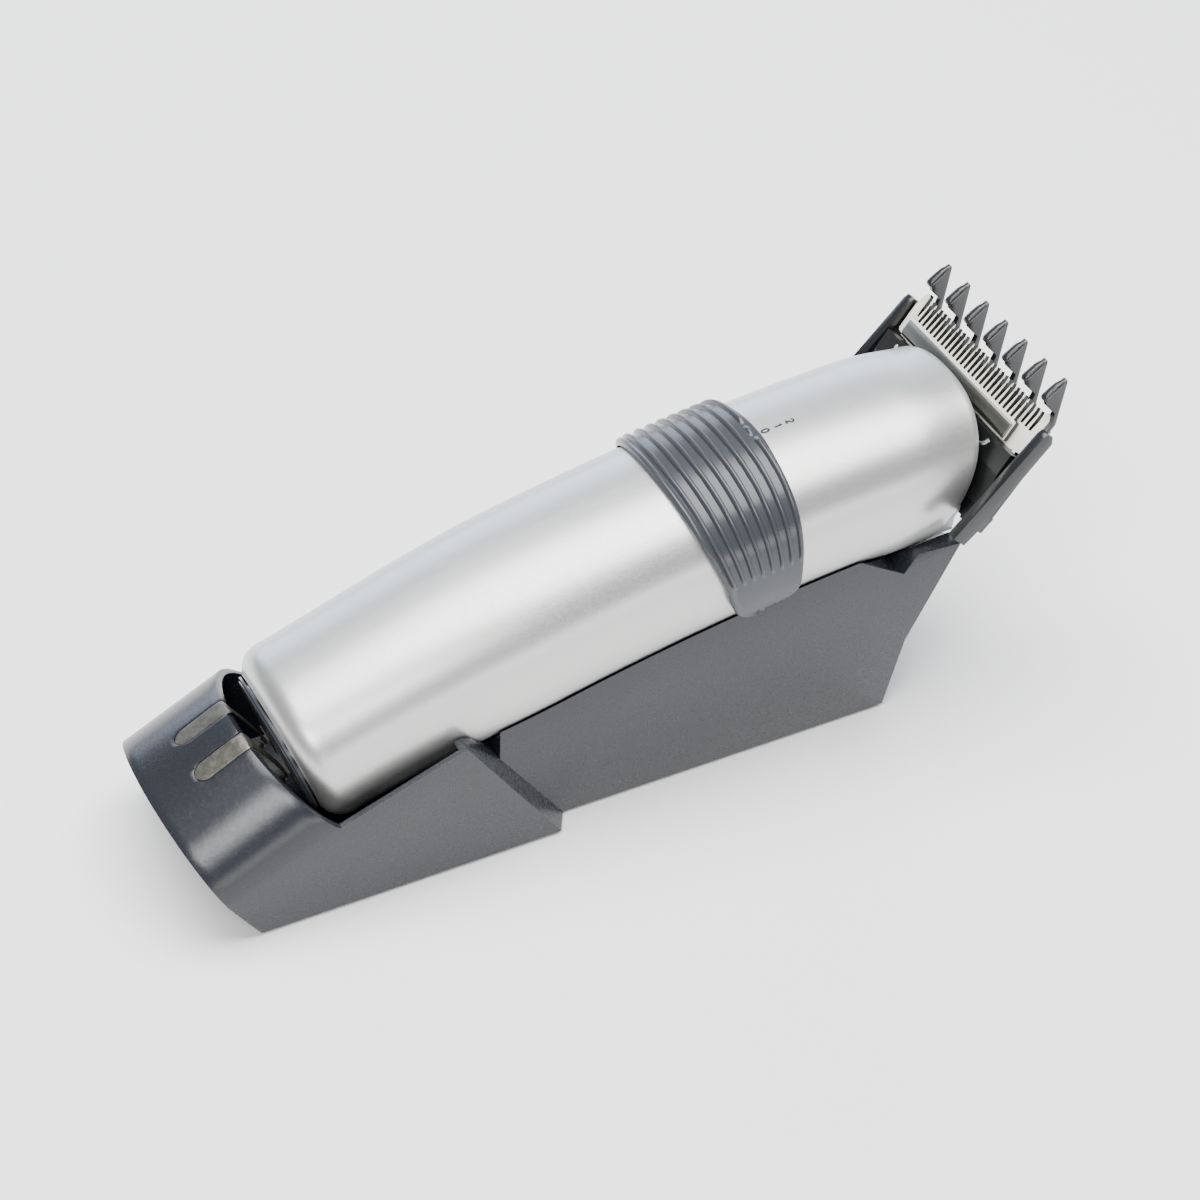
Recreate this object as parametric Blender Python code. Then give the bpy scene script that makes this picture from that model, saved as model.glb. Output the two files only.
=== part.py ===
"""Cordless hair clipper lying in its charging stand, as separate pieces.

The layout is drawn in millimetres: x runs from the stand's rear bottom edge
towards the cutting head, y across, z up from the underside of the stand
housing.  to_world() turns layout points into metres, with the origin under
the middle of the whole object, where the rubber feet touch the table.
"""

import math

import bmesh
import bpy
import numpy as np

for leftover in list(bpy.data.objects):
    bpy.data.objects.remove(leftover, do_unlink=True)

# ---------------------------------------------------------------- dimensions
MM = 0.001
ORIGIN_X = 76.45         # layout x of the object's origin
FOOT_DROP = 0.8          # how far the rubber feet stand below the housing

# clipper body
ARCH_X = 90.0            # where the arched body axis is described
ARCH_Z = 42.7
ARCH_SLOPE = 0.1784
ARCH_BEND = -0.001208
BODY_HALF_WIDTH = 20.0
BODY_HEIGHT_RATIO = 0.79
BODY_SQUARENESS = 2.3
TAIL_X = 14.5
TAIL_ROUND = 4.5
TAIL_LEAN = -0.3
NOSE_X = 147.6
NOSE_LEAN = 0.36
SHELL_WALL = 1.8
CHIN_DROP = 1.8
CHIN_REACH = 6.0
PARTING = math.radians(-42.0)

# power ring
RING_FRONT_X = 110.9
RING_REAR_X = 89.3
RING_SWEEP = 5.8
RING_FLAP = math.radians(115.0)
RING_CLEARANCE = 0.35
RING_WALL = 1.25
SWITCH_TRAVEL = 5.2

# cutting head
BLADE_TIP = (161.3, 64.2)
BLADE_ANGLE = math.radians(55.0)
BLADE_PITCH = 1.38
BLADE_TEETH = 29
BLADE_STROKE = 2.4
COMB_TEETH = 7
COMB_PITCH = 6.78

# charging stand
WIDE = 23.0
NARROW = 18.5
STAND_WALL = 2.0
POCKET_WALL = 1.2
STEP_TOP = (41.4, 28.8)
STEP_BOTTOM = (60.7, 0.0)
RIM_CORNER = (16.1, 19.6)
HOOD_REAR = (-5.8, 8.9)
HOOD_REAR_RISE = 12.1
HOOD_REAR_LEAN = 0.56
HOOD_FRONT_RISE = 11.0
HOOD_FRONT_LEAN = 0.99
SLOT_WIDTH = 4.3
SLOTS = (("left", 4.95), ("right", -4.95))
SLOT_END_X = -2.05
HOOD_FLOOR_X = 0.3  # where the rear wall meets the hood's floor, inside
CRADLE_GAP = 0.5
SOCKET_START = (-5.6, 0.0, 8.6)
SOCKET_AXIS = (0.84, 0.0, 0.54)
BOSSES = ((46.0, -12.0, 10.0), (46.0, 12.0, 10.0), (112.0, -12.0, 25.0), (112.0, 12.0, 25.0))
FEET = ((26.0, -11.5), (26.0, 11.5), (123.5, -11.5), (123.5, 11.5))

# inside the clipper
SLOT_X = (95.6, 99.6 + SWITCH_TRAVEL)
SHELL_SCREWS = (58.0, 100.0)
MOTOR_START = (111.6, 0.0, 44.8)
MOTOR_AXIS = (1.0, 0.0, 0.12)
BLADE_SCREWS = (-10.17, 10.17)

MATERIALS = {
    "silver_paint": ((0.66, 0.67, 0.67), 0.28, 0.85),
    "grey_plastic": ((0.27, 0.285, 0.30), 0.45, 0.0),
    "light_grey_plastic": ((0.42, 0.44, 0.46), 0.4, 0.0),
    "stand_plastic": ((0.085, 0.09, 0.10), 0.38, 0.0),
    "black_plastic": ((0.02, 0.021, 0.024), 0.35, 0.0),
    "comb_plastic": ((0.05, 0.052, 0.06), 0.25, 0.0),
    "blade_steel": ((0.72, 0.71, 0.66), 0.3, 1.0),
    "spring_steel": ((0.5, 0.5, 0.48), 0.3, 1.0),
    "nickel_contact": ((0.55, 0.55, 0.5), 0.3, 1.0),
    "rubber": ((0.03, 0.03, 0.03), 0.8, 0.0),
    "motor_can": ((0.5, 0.5, 0.52), 0.35, 1.0),
    "cell_wrap": ((0.08, 0.25, 0.12), 0.4, 0.0),
    "board_green": ((0.03, 0.16, 0.07), 0.5, 0.0),
}


def material(name):
    """The named finish, made the first time it is asked for."""
    found = bpy.data.materials.get(name)
    if found:
        return found
    colour, roughness, metallic = MATERIALS[name]
    made = bpy.data.materials.new(name)
    made.use_nodes = True
    shader = made.node_tree.nodes["Principled BSDF"]
    shader.inputs["Base Color"].default_value = (*colour, 1.0)
    shader.inputs["Roughness"].default_value = roughness
    shader.inputs["Metallic"].default_value = metallic
    made.diffuse_color = (*colour, 1.0)
    return made


def to_world(point):
    """A layout point in millimetres as a world point in metres."""
    x, y, z = point
    return ((x - ORIGIN_X) * MM, y * MM, (z + FOOT_DROP) * MM)


def make_piece(name, points, faces, finish, origin=(ORIGIN_X, 0.0, 0.0)):
    """A piece from layout points, with its origin at a layout point."""
    mesh = bpy.data.meshes.new(name)
    base = np.array(to_world(origin))
    places = [tuple(np.array(to_world(point)) - base) for point in points]
    mesh.from_pydata(places, [], faces)
    shaper = bmesh.new()
    shaper.from_mesh(mesh)
    bmesh.ops.triangulate(shaper, faces=[face for face in shaper.faces if len(face.verts) > 4])
    bmesh.ops.recalc_face_normals(shaper, faces=shaper.faces)
    shaper.to_mesh(mesh)
    shaper.free()
    mesh.materials.append(material(finish))
    piece = bpy.data.objects.new(name, mesh)
    piece.location = base
    bpy.context.scene.collection.objects.link(piece)
    mesh.shade_smooth()
    mesh.set_sharp_from_angle(angle=math.radians(35.0))
    return piece


def loft(name, rings, finish, origin=(ORIGIN_X, 0.0, 0.0)):
    """A closed solid through rings that all have the same number of points."""
    count = len(rings[0])
    points = [point for ring in rings for point in ring]
    faces = [tuple(range(count))]
    for ring_index in range(len(rings) - 1):
        start = ring_index * count
        for step in range(count):
            after = (step + 1) % count
            faces.append((start + step, start + after, start + count + after, start + count + step))
    faces.append(tuple(range(len(points) - count, len(points))))
    return make_piece(name, points, faces, finish, origin)


def side_plate(name, outline, y_low, y_high, finish, origin=(ORIGIN_X, 0.0, 0.0)):
    """An outline of (x, z) points carried across from y_low to y_high."""
    rings = [[(x, y, z) for x, z in outline] for y in (y_low, y_high)]
    return loft(name, rings, finish, origin)


def block(name, low, high, finish, origin=(ORIGIN_X, 0.0, 0.0)):
    """A square block between two layout corners."""
    outline = [(low[0], low[2]), (high[0], low[2]), (high[0], high[2]), (low[0], high[2])]
    return side_plate(name, outline, low[1], high[1], finish, origin)


def circle_frame(axis):
    """Two directions square to an axis and to each other."""
    axis = np.array(axis, float) / np.linalg.norm(axis)
    helper = np.array((0.0, 1.0, 0.0)) if abs(axis[1]) < 0.9 else np.array((1.0, 0.0, 0.0))
    first = np.cross(axis, helper)
    first /= np.linalg.norm(first)
    return axis, first, np.cross(axis, first)


def turned(name, start, axis, profile, finish, sides=24, origin=None):
    """A solid turned about an axis; profile is (distance along, radius) pairs."""
    axis, first, second = circle_frame(axis)
    start = np.array(start, float)
    rings = []
    for along, radius in profile:
        ring = []
        for step in range(sides):
            angle = 2.0 * math.pi * step / sides
            spoke = math.cos(angle) * first + math.sin(angle) * second
            ring.append(tuple(start + axis * along + spoke * radius))
        rings.append(ring)
    return loft(name, rings, finish, tuple(start) if origin is None else origin)


def combine(piece, others, operation, solver="EXACT"):
    """Join to a piece, or cut from it, each solid in a list of helpers."""
    for helper in others:
        helper.hide_render = True
        helper.display_type = "WIRE"
        step = piece.modifiers.new(helper.name, "BOOLEAN")
        step.operation = operation
        step.object = helper
        step.solver = solver
    return piece


def add(piece, others):
    """Join the helper solids to a piece."""
    return combine(piece, others, "UNION")


def cut(piece, others, solver="EXACT"):
    """Cut the helper solids from a piece."""
    return combine(piece, others, "DIFFERENCE", solver)


# ------------------------------------------------------------- body surface
def axis_height(x):
    """Height of the arched body axis."""
    along = x - ARCH_X
    return ARCH_Z + ARCH_SLOPE * along + ARCH_BEND * along * along


def axis_slope(x):
    """Slope of the body axis."""
    return ARCH_SLOPE + 2.0 * ARCH_BEND * (x - ARCH_X)


def ease(x, low, high):
    """Smooth step from 0 at low to 1 at high."""
    part = min(max((x - low) / (high - low), 0.0), 1.0)
    return part * part * (3.0 - 2.0 * part)


def half_width(x):
    """Half the body's width: slimmer towards the tail and the nose."""
    return BODY_HALF_WIDTH - 1.3 * (1.0 - ease(x, 22.0, 62.0)) - 1.5 * ease(x, 134.0, 150.0)


def end_inset(x):
    """How much the rounded tail edge draws the section in."""
    short = max(TAIL_X + TAIL_ROUND - x, 0.0)
    return TAIL_ROUND - math.sqrt(TAIL_ROUND ** 2 - min(short, TAIL_ROUND * 0.97) ** 2)


def body_point(station, angle, offset=0.0, lean=None):
    """A point on the body's surface, moved out by offset.

    angle is measured in the section from +y over the top; lean tips the
    section's plane, so that its x grows with height above the axis.
    """
    inset = end_inset(station)
    chin = ease(-math.sin(angle), 0.35, 0.8) * ease(station, 128.0, 148.0)
    offset += CHIN_DROP * chin
    half = half_width(station) - inset + offset
    tall = (half_width(station) * BODY_HEIGHT_RATIO - inset + offset) / math.cos(math.atan(axis_slope(station)))
    power = 2.0 / BODY_SQUARENESS
    across = math.copysign(abs(math.cos(angle)) ** power, math.cos(angle))
    up = math.copysign(abs(math.sin(angle)) ** power, math.sin(angle))
    if lean is None:
        part = (station - TAIL_X) / (NOSE_X - TAIL_X)
        lean = TAIL_LEAN + (NOSE_LEAN - TAIL_LEAN) * ease(part, 0.0, 1.0)
    x = station + lean * tall * up
    lift = axis_height(station) + axis_slope(station) * lean * tall * up
    return (x, half * across, lift + tall * up)


def angles(low, high, count):
    """Evenly spaced angles, both ends included."""
    return [low + (high - low) * step / (count - 1) for step in range(count)]


def body_stations(first=TAIL_X, last=NOSE_X):
    """Section stations: close together at the rounded tail, then even."""
    rounded = [TAIL_X, TAIL_X + 0.7, TAIL_X + 1.9, TAIL_X + TAIL_ROUND]
    even = [28.0 + 10.0 * step for step in range(11)] + [135.0, 141.0, NOSE_X]
    return [x for x in rounded + even if first <= x <= last]


def body_band(name, stations, low, high, count, outer, inner, finish, lean=None):
    """Part of the body's wall between two section angles."""
    rings = []
    for x in stations:
        out = [body_point(x, angle, outer, lean) for angle in angles(low, high, count)]
        back = [body_point(x, angle, inner, lean) for angle in angles(high, low, count)]
        rings.append(out + back)
    return loft(name, rings, finish)


def body_solid(name, stations, offset, count=28, lean=None):
    """The whole body as one solid, grown by offset, used to cut others."""
    rings = []
    for x in stations:
        turn = angles(0.0, 2.0 * math.pi, count + 1)[:-1]
        rings.append([body_point(x, angle, offset, lean) for angle in turn])
    return loft(name, rings, "silver_paint")


# ------------------------------------------------------------- blade frame
BLADE_ALONG = (math.cos(BLADE_ANGLE), math.sin(BLADE_ANGLE))
BLADE_UP = (-math.sin(BLADE_ANGLE), math.cos(BLADE_ANGLE))


def blade_xz(ahead, above):
    """Layout (x, z) of a place given ahead of the blade tips and above the blade."""
    x = BLADE_TIP[0] + ahead * BLADE_ALONG[0] + above * BLADE_UP[0]
    z = BLADE_TIP[1] + ahead * BLADE_ALONG[1] + above * BLADE_UP[1]
    return (x, z)


def blade_outline(pairs):
    """A list of (ahead, above) pairs as layout (x, z) points."""
    return [blade_xz(ahead, above) for ahead, above in pairs]


def toothed_plate(name, half, first_tooth, pitch, teeth, root, tip, rear, under, over, finish, slide=0.0):
    """A cutter: a flat plate with pointed teeth along its front edge.

    Positions run across the blade (y) and ahead of the blade tips; the
    plate lies between the levels under and over.
    """
    outline = [(-half, rear), (-half, root)]
    for number in range(teeth):
        centre = first_tooth + number * pitch
        outline += [
            (centre - 0.32 * pitch, root),
            (centre - 0.13 * pitch, tip),
            (centre + 0.13 * pitch, tip),
            (centre + 0.32 * pitch, root),
        ]
    outline += [(half, root), (half, rear)]
    rings = []
    for level in (under, over):
        ring = []
        for across, ahead in outline:
            x, z = blade_xz(ahead, level)
            ring.append((x, across + slide, z))
        rings.append(ring)
    return loft(name, rings, finish)


# ------------------------------------------------------------ charging stand
def hood_arch(front, shrink=0.0):
    """Arch points of the hood, from the near side to the far side."""
    base = RIM_CORNER if front else HOOD_REAR
    rise = (HOOD_FRONT_RISE if front else HOOD_REAR_RISE) - shrink
    lean = HOOD_FRONT_LEAN if front else HOOD_REAR_LEAN
    half = WIDE - shrink
    points = []
    for angle in angles(math.pi, 0.0, 17):
        up = rise * math.sin(angle)
        points.append((base[0] - lean * up, half * math.cos(angle), base[1] + up))
    return points


def stand_outside():
    """The stand's outer solid: hooded wide rear, then the narrow cradle."""
    def flat_row(x_top, z_top, half):
        return [(x_top, half * math.cos(angle), z_top) for angle in angles(math.pi, 0.0, 17)]

    def section(x_bottom, half, row):
        return [(x_bottom, -half, 0.0)] + row + [(x_bottom, half, 0.0)]

    shift = 2.6
    rings = [
        section(0.0, WIDE, hood_arch(front=False)),
        section(RIM_CORNER[0], WIDE, hood_arch(front=True)),
        section(RIM_CORNER[0] + 0.3, WIDE, flat_row(RIM_CORNER[0] + 0.3, RIM_CORNER[1] + 0.1, WIDE)),
        section(STEP_BOTTOM[0], WIDE, flat_row(STEP_TOP[0], STEP_TOP[1], WIDE)),
        section(STEP_BOTTOM[0] + shift, NARROW, flat_row(STEP_TOP[0] + shift, STEP_TOP[1] - 1.0, NARROW)),
    ]
    return loft("stand_housing", rings, "stand_plastic")


def rim_height(x):
    """Top of the cradle walls: a little under the body's widest line."""
    return axis_height(x) - 7.4


def cradle_outline():
    """Side outline of the narrow cradle with its notched front."""
    rim = [(x, rim_height(x)) for x in (123.9, 112.0, 100.0, 88.0, 76.0, 64.0, 50.0)]
    front = [(133.7, 0.0), (137.4, 15.2), (147.8, 36.1), (138.2, 36.7), (135.4, 32.8)]
    return [(50.0, 0.0)] + front + rim


def pocket_outline():
    """Side outline of the tail pocket, open at the top between its walls."""
    inner_step = 1.6
    return [
        (16.4, 3.4),
        (49.0, 13.0),
        (STEP_TOP[0] - inner_step, STEP_TOP[1]),
        (STEP_TOP[0] - inner_step, 50.0),
        (16.4, 50.0),
    ]


def hood_inside():
    """The space under the hood, carried forward through its front opening."""
    inner = WIDE - POCKET_WALL
    rings = []
    for shift_x, shift_z, front in ((2.4, 0.0, False), (0.0, 0.0, True), (16.0, 6.0, True)):
        arch = hood_arch(front, shrink=POCKET_WALL)
        floor_x = arch[0][0] + shift_x if front else HOOD_FLOOR_X
        row = [(x + shift_x, y, z + shift_z) for x, y, z in arch]
        rings.append([(floor_x, -inner, 3.4)] + row + [(floor_x, inner, 3.4)])
    return loft("hood_space", rings, "stand_plastic")


def round_window(name, y, finish):
    """A slot through the hood with a round rear end, open at the front."""
    half = SLOT_WIDTH / 2.0
    plan = [(14.0, -half), (14.0, half)]
    for angle in angles(math.pi / 2.0, 1.5 * math.pi, 7):
        plan.append((SLOT_END_X + half * math.cos(angle), half * math.sin(angle)))
    rings = [[(x, y + across, z) for x, across in plan] for z in (17.3, 37.0)]
    return loft(name, rings, finish)


def make_housing():
    """The stand's moulded housing: hood, tail pocket and cradle."""
    housing = stand_outside()
    cradle = side_plate("cradle_walls", cradle_outline(), -NARROW, NARROW, "stand_plastic")
    under_outline = [
        (19.0, -1.0),
        (129.0, -1.0),
        (131.0, 24.0),
        (118.0, 26.0),
        (60.0, 15.0),
        (40.0, 8.6),
        (19.0, 1.9),
    ]
    inner = NARROW - STAND_WALL
    under = side_plate("under_space", under_outline, -inner, inner, "stand_plastic")
    inner = WIDE - POCKET_WALL
    pocket = side_plate("tail_pocket", pocket_outline(), -inner, inner, "stand_plastic")
    body_space = body_solid("cradle_space", body_stations() + [NOSE_X + 4.0, NOSE_X + 9.0], CRADLE_GAP)
    socket_hole = turned("socket_hole", SOCKET_START, SOCKET_AXIS, [(-3.0, 3.3), (10.0, 3.3)], "stand_plastic")
    windows = [round_window(f"slot_{side}", y, "stand_plastic") for side, y in SLOTS]
    bosses = []
    holes = []
    for number, (x, y, top) in enumerate(BOSSES):
        bosses.append(turned(f"boss_{number}", (x, y, 1.8), (0, 0, 1), [(0.0, 3.4), (top, 3.4)], "stand_plastic", 16))
        holes.append(turned(f"boss_hole_{number}", (x, y, 1.0), (0, 0, 1), [(0.0, 1.6), (8.2, 1.6)], "stand_plastic", 12))
    add(housing, [cradle])
    cut(housing, [hood_inside(), pocket, under, body_space, socket_hole] + windows, "MANIFOLD")
    combine(housing, bosses, "UNION", "MANIFOLD")
    cut(housing, holes, "MANIFOLD")


def make_base():
    """The base plate with its feet and screws, and the charging board on it."""
    plate = block("stand_base_plate", (19.3, -16.2, 0.1), (128.7, 16.2, 1.5), "stand_plastic")
    posts = []
    for number, (x, y) in enumerate(((64.0, -9.0), (64.0, 9.0), (90.0, -9.0), (90.0, 9.0))):
        posts.append(turned(f"board_post_{number}", (x, y, 1.0), (0, 0, 1), [(0.0, 1.8), (3.2, 1.8)], "stand_plastic", 12))
    add(plate, posts)
    wells = []
    for number, (x, y, _) in enumerate(BOSSES):
        wells.append(turned(f"screw_well_{number}", (x, y, -1.0), (0, 0, 1), [(0.0, 2.9), (4.0, 2.9)], "stand_plastic", 16))
        shape = [(0.0, 2.5), (1.1, 2.5), (1.1, 1.25), (8.0, 1.25)]
        turned(f"base_screw_{number + 1}", (x, y, 0.3), (0, 0, 1), shape, "spring_steel", 12)
    cut(plate, wells)
    for number, (x, y) in enumerate(FEET):
        shape = [(0.0, 3.3), (0.2, 3.5), (0.6, 3.5)]
        turned(f"rubber_foot_{number + 1}", (x, y, -FOOT_DROP), (0, 0, 1), shape, "rubber", 16)
    block("charging_board", (61.0, -12.0, 4.5), (93.0, 12.0, 6.0), "board_green")


def make_contact(side, y):
    """A leaf contact: it lies in the hood's slot and reaches down to the tail."""
    path = [(-2.3, 25.8), (5.2, 29.8), (6.5, 29.4), (7.6, 27.9), (12.5, 20.2), (12.9, 18.4), (12.0, 16.9)]
    thick = 0.35
    over = []
    under = []
    for number, (x, z) in enumerate(path):
        before = path[max(number - 1, 0)]
        after = path[min(number + 1, len(path) - 1)]
        run, rise = after[0] - before[0], after[1] - before[1]
        size = math.hypot(run, rise)
        over.append((x - rise / size * thick / 2.0, z + run / size * thick / 2.0))
        under.append((x + rise / size * thick / 2.0, z - run / size * thick / 2.0))
    side_plate(f"charging_contact_{side}", over + under[::-1], y - 1.95, y + 1.95, "nickel_contact")


def make_socket():
    """The power inlet in the stand's rear wall, with its centre pin."""
    socket = turned("power_inlet", SOCKET_START, SOCKET_AXIS, [(0.0, 3.0), (8.6, 3.0)], "black_plastic", 20)
    cut(socket, [turned("inlet_bore", SOCKET_START, SOCKET_AXIS, [(-1.0, 1.9), (7.0, 1.9)], "black_plastic", 16)])
    turned("inlet_pin", SOCKET_START, SOCKET_AXIS, [(1.2, 0.5), (6.6, 0.5)], "nickel_contact", 10)


# ------------------------------------------------------------- clipper body
def chin_point(angle, offset, reach):
    """A point ahead of the nose edge: furthest ahead at the bottom centre."""
    x, y, z = body_point(NOSE_X, angle, offset)
    depth = abs(math.sin(angle)) ** (2.0 / BODY_SQUARENESS)
    part = ease(depth, 0.62, 1.0)
    ahead = min(reach, 0.0) + max(reach, 0.0) * (0.15 + 0.85 * part)
    return (x + ahead, y, z + ahead * axis_slope(NOSE_X))


def make_shells():
    """Upper and lower body shells, parted low on the sides, and their screws."""
    stations = body_stations()
    low, high = PARTING, math.pi - PARTING
    upper = body_band("upper_shell", stations, low, high, 33, 0.0, -SHELL_WALL, "silver_paint")
    top = axis_height(SLOT_X[0]) + BODY_HALF_WIDTH * BODY_HEIGHT_RATIO
    slot = block("switch_slot", (SLOT_X[0], -2.0, top - 5.0), (SLOT_X[1], 2.0, top + 5.0), "silver_paint")
    cut(upper, [slot])
    seam = math.radians(1.0)
    low, high = math.pi - PARTING + seam, 2.0 * math.pi + PARTING - seam
    lower = body_band("lower_shell", stations + [NOSE_X + 1.0], low, high, 13, 0.0, -SHELL_WALL, "light_grey_plastic")
    lips = []
    for reach in (-1.0, 2.5, CHIN_REACH):
        out = [chin_point(angle, 0.0, reach) for angle in angles(low, high, 13)]
        back = [chin_point(angle, -SHELL_WALL, reach) for angle in angles(high, low, 13)]
        lips.append(out + back)
    add(lower, [loft("chin_lip", lips, "light_grey_plastic")])
    holes = []
    for number, x in enumerate(SHELL_SCREWS):
        under = axis_height(x) - BODY_HALF_WIDTH * BODY_HEIGHT_RATIO - 0.1
        shape = [(-2.0, 2.4), (1.2, 2.4), (1.2, 1.4), (6.0, 1.4)]
        holes.append(turned(f"shell_hole_{number}", (x, 0, under), (0, 0, 1), shape, "silver_paint", 16))
        shape = [(0.1, 2.1), (0.9, 2.1), (0.9, 1.1), (4.8, 1.1)]
        turned(f"shell_screw_{number + 1}", (x, 0, under), (0, 0, 1), shape, "spring_steel", 12)
    cut(lower, holes)


def tail_ring(offset, shift, count=30):
    """A closed ring at the tail, moved along the body axis."""
    slope = axis_slope(TAIL_X)
    size = math.hypot(1.0, slope)
    ring = []
    for angle in angles(0.0, 2.0 * math.pi, count + 1)[:-1]:
        x, y, z = body_point(TAIL_X, angle, offset)
        ring.append((x + shift / size, y, z + shift * slope / size))
    return ring


def make_tail():
    """The tail cap with its flange, and the two charging plates through it."""
    steps = [(-1.9, -1.5), (-0.8, -1.25), (-0.15, -0.35), (-2.2, -0.35), (-2.2, 2.6)]
    cap = loft("tail_cap", [tail_ring(offset, shift) for offset, shift in steps], "grey_plastic")
    slope = axis_slope(TAIL_X)
    for side, y in SLOTS:
        base_z = axis_height(TAIL_X) - 3.0
        base_x = TAIL_X + 0.9
        outlines = []
        for half, back, ahead in ((2.2, -4.0, 8.0), (1.9, -1.7, 3.6)):
            low = (base_x + back + slope * half, base_z + back * slope - half)
            high = (base_x + back - slope * half, base_z + back * slope + half)
            run = ahead - back
            outlines.append([low, (low[0] + run, low[1] + run * slope), (high[0] + run, high[1] + run * slope), high])
        cut(cap, [side_plate(f"plate_hole_{side}", outlines[0], y - 2.4, y + 2.4, "grey_plastic")])
        side_plate(f"charging_plate_{side}", outlines[1], y - 2.1, y + 2.1, "nickel_contact")


def make_ring():
    """The saddle-shaped power ring, with its flaps and the link below it."""
    over_top = math.pi / 2.0
    rings = []
    corner = 4.2
    for around in angles(-RING_FLAP, RING_FLAP, 45):
        away = abs(around)
        length = (RING_FLAP - away) * BODY_HALF_WIDTH
        bite = corner - math.sqrt(corner ** 2 - max(corner - length, 0.0) ** 2 * 0.97)
        front = RING_FRONT_X - bite
        rear = RING_REAR_X + RING_SWEEP * (away / over_top) ** 2 + bite
        spread = 0.35 * ease(away, math.radians(85.0), RING_FLAP)
        low = RING_CLEARANCE + spread
        high = low + RING_WALL
        section = [(rear, low), (rear, high - 0.4), (rear + 0.4, high), (front - 0.4, high), (front, high - 0.4), (front, low)]
        rings.append([body_point(x, over_top + around, offset, 0.0) for x, offset in section])
    origin = (RING_FRONT_X, 0.0, axis_height(RING_FRONT_X))
    loft("power_ring", rings, "grey_plastic", origin)
    top = axis_height(SLOT_X[0]) + BODY_HALF_WIDTH * BODY_HEIGHT_RATIO
    link = block("switch_link", (SLOT_X[0] + 0.4, -1.6, top - 6.0), (SLOT_X[0] + 3.4, 1.6, top + 0.1), "black_plastic", origin)
    return link


# ---------------------------------------------------------------- internals
def make_inside():
    """Cells, board, slide switch, motor and the tray that carries them."""
    slope = (axis_height(75.0) - axis_height(27.5)) / 47.5
    for number, y in enumerate((-7.3, 7.3)):
        start = (27.5, y, axis_height(27.5) - 0.3)
        shape = [(0.0, 6.6), (0.4, 6.9), (47.0, 6.9), (47.4, 6.6), (47.4, 2.6), (48.2, 2.6)]
        turned(f"battery_cell_{number + 1}", start, (1.0, 0.0, slope), shape, "cell_wrap", 20)
    block("circuit_board", (80.0, -11.0, 46.6), (107.4, 11.0, 48.0), "board_green")
    block("slide_switch", (92.0, -3.6, 48.3), (106.6, 3.6, 51.6), "nickel_contact")
    origin = (RING_FRONT_X, 0.0, axis_height(RING_FRONT_X))
    knob_x = SLOT_X[0] + 0.9
    block("switch_knob", (knob_x, -1.2, 51.9), (knob_x + 2.0, 1.2, 53.1), "black_plastic", origin)

    rows = [(25.5, -9.2, 10.0), (50.0, -9.2, 10.0), (80.0, -9.2, 10.0), (107.0, -9.2, 10.0)]
    rows += [(111.0, -11.0, 7.5), (122.0, -11.0, 7.5), (131.0, -11.0, 7.0)]
    rings = []
    for x, top, half in rows:
        high = axis_height(x) + top
        low = high - 1.3
        rings.append([(x, -half, low), (x, half, low), (x, half, high), (x, -half, high)])
    tray = loft("inner_tray", rings, "black_plastic")
    walls = []
    for name, x, half, rise in (("cell_wall", 77.2, 12.0, 7.0), ("motor_wall", 108.6, 12.0, 4.0)):
        base = axis_height(x)
        walls.append(block(name, (x, -half, base - 10.7), (x + 1.5, half, base + rise), "black_plastic"))
    holes = []
    for number, x in enumerate(SHELL_SCREWS):
        base = axis_height(x) - 13.4
        walls.append(turned(f"tray_boss_{number}", (x, 0, base), (0, 0, 1), [(0.0, 2.8), (3.6, 2.8)], "black_plastic", 16))
        holes.append(turned(f"tray_boss_hole_{number}", (x, 0, base - 1.0), (0, 0, 1), [(0.0, 1.4), (3.7, 1.4)], "black_plastic", 12))
    add(tray, walls)
    cut(tray, holes)

    shape = [(0.0, 9.0), (0.5, 9.4), (22.0, 9.4), (22.5, 9.0), (22.5, 3.0), (23.8, 3.0)]
    turned("motor", MOTOR_START, MOTOR_AXIS, shape, "motor_can", 24)


def motor_point(along):
    """A layout point on the motor's axis."""
    axis = np.array(MOTOR_AXIS) / np.linalg.norm(MOTOR_AXIS)
    return np.array(MOTOR_START) + axis * along


def make_drive():
    """Motor shaft and the eccentric whose pin drives the moving blade."""
    origin = tuple(motor_point(27.0))
    turned("motor_shaft", motor_point(24.1), MOTOR_AXIS, [(0.0, 1.0), (5.5, 1.0)], "spring_steel", 12, origin)
    cam = turned("eccentric", motor_point(26.2), MOTOR_AXIS, [(0.0, 3.2), (4.6, 3.2)], "light_grey_plastic", 20, origin)
    cut(cam, [turned("shaft_bore", motor_point(25.5), MOTOR_AXIS, [(0.0, 1.3), (4.4, 1.3)], "spring_steel", 12)])
    pin_start = motor_point(30.0) + np.array((0.0, BLADE_STROKE / 2.0, 0.0))
    add(cam, [turned("drive_pin", pin_start, MOTOR_AXIS, [(0.0, 0.8), (5.0, 0.8)], "spring_steel", 12)])


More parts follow.
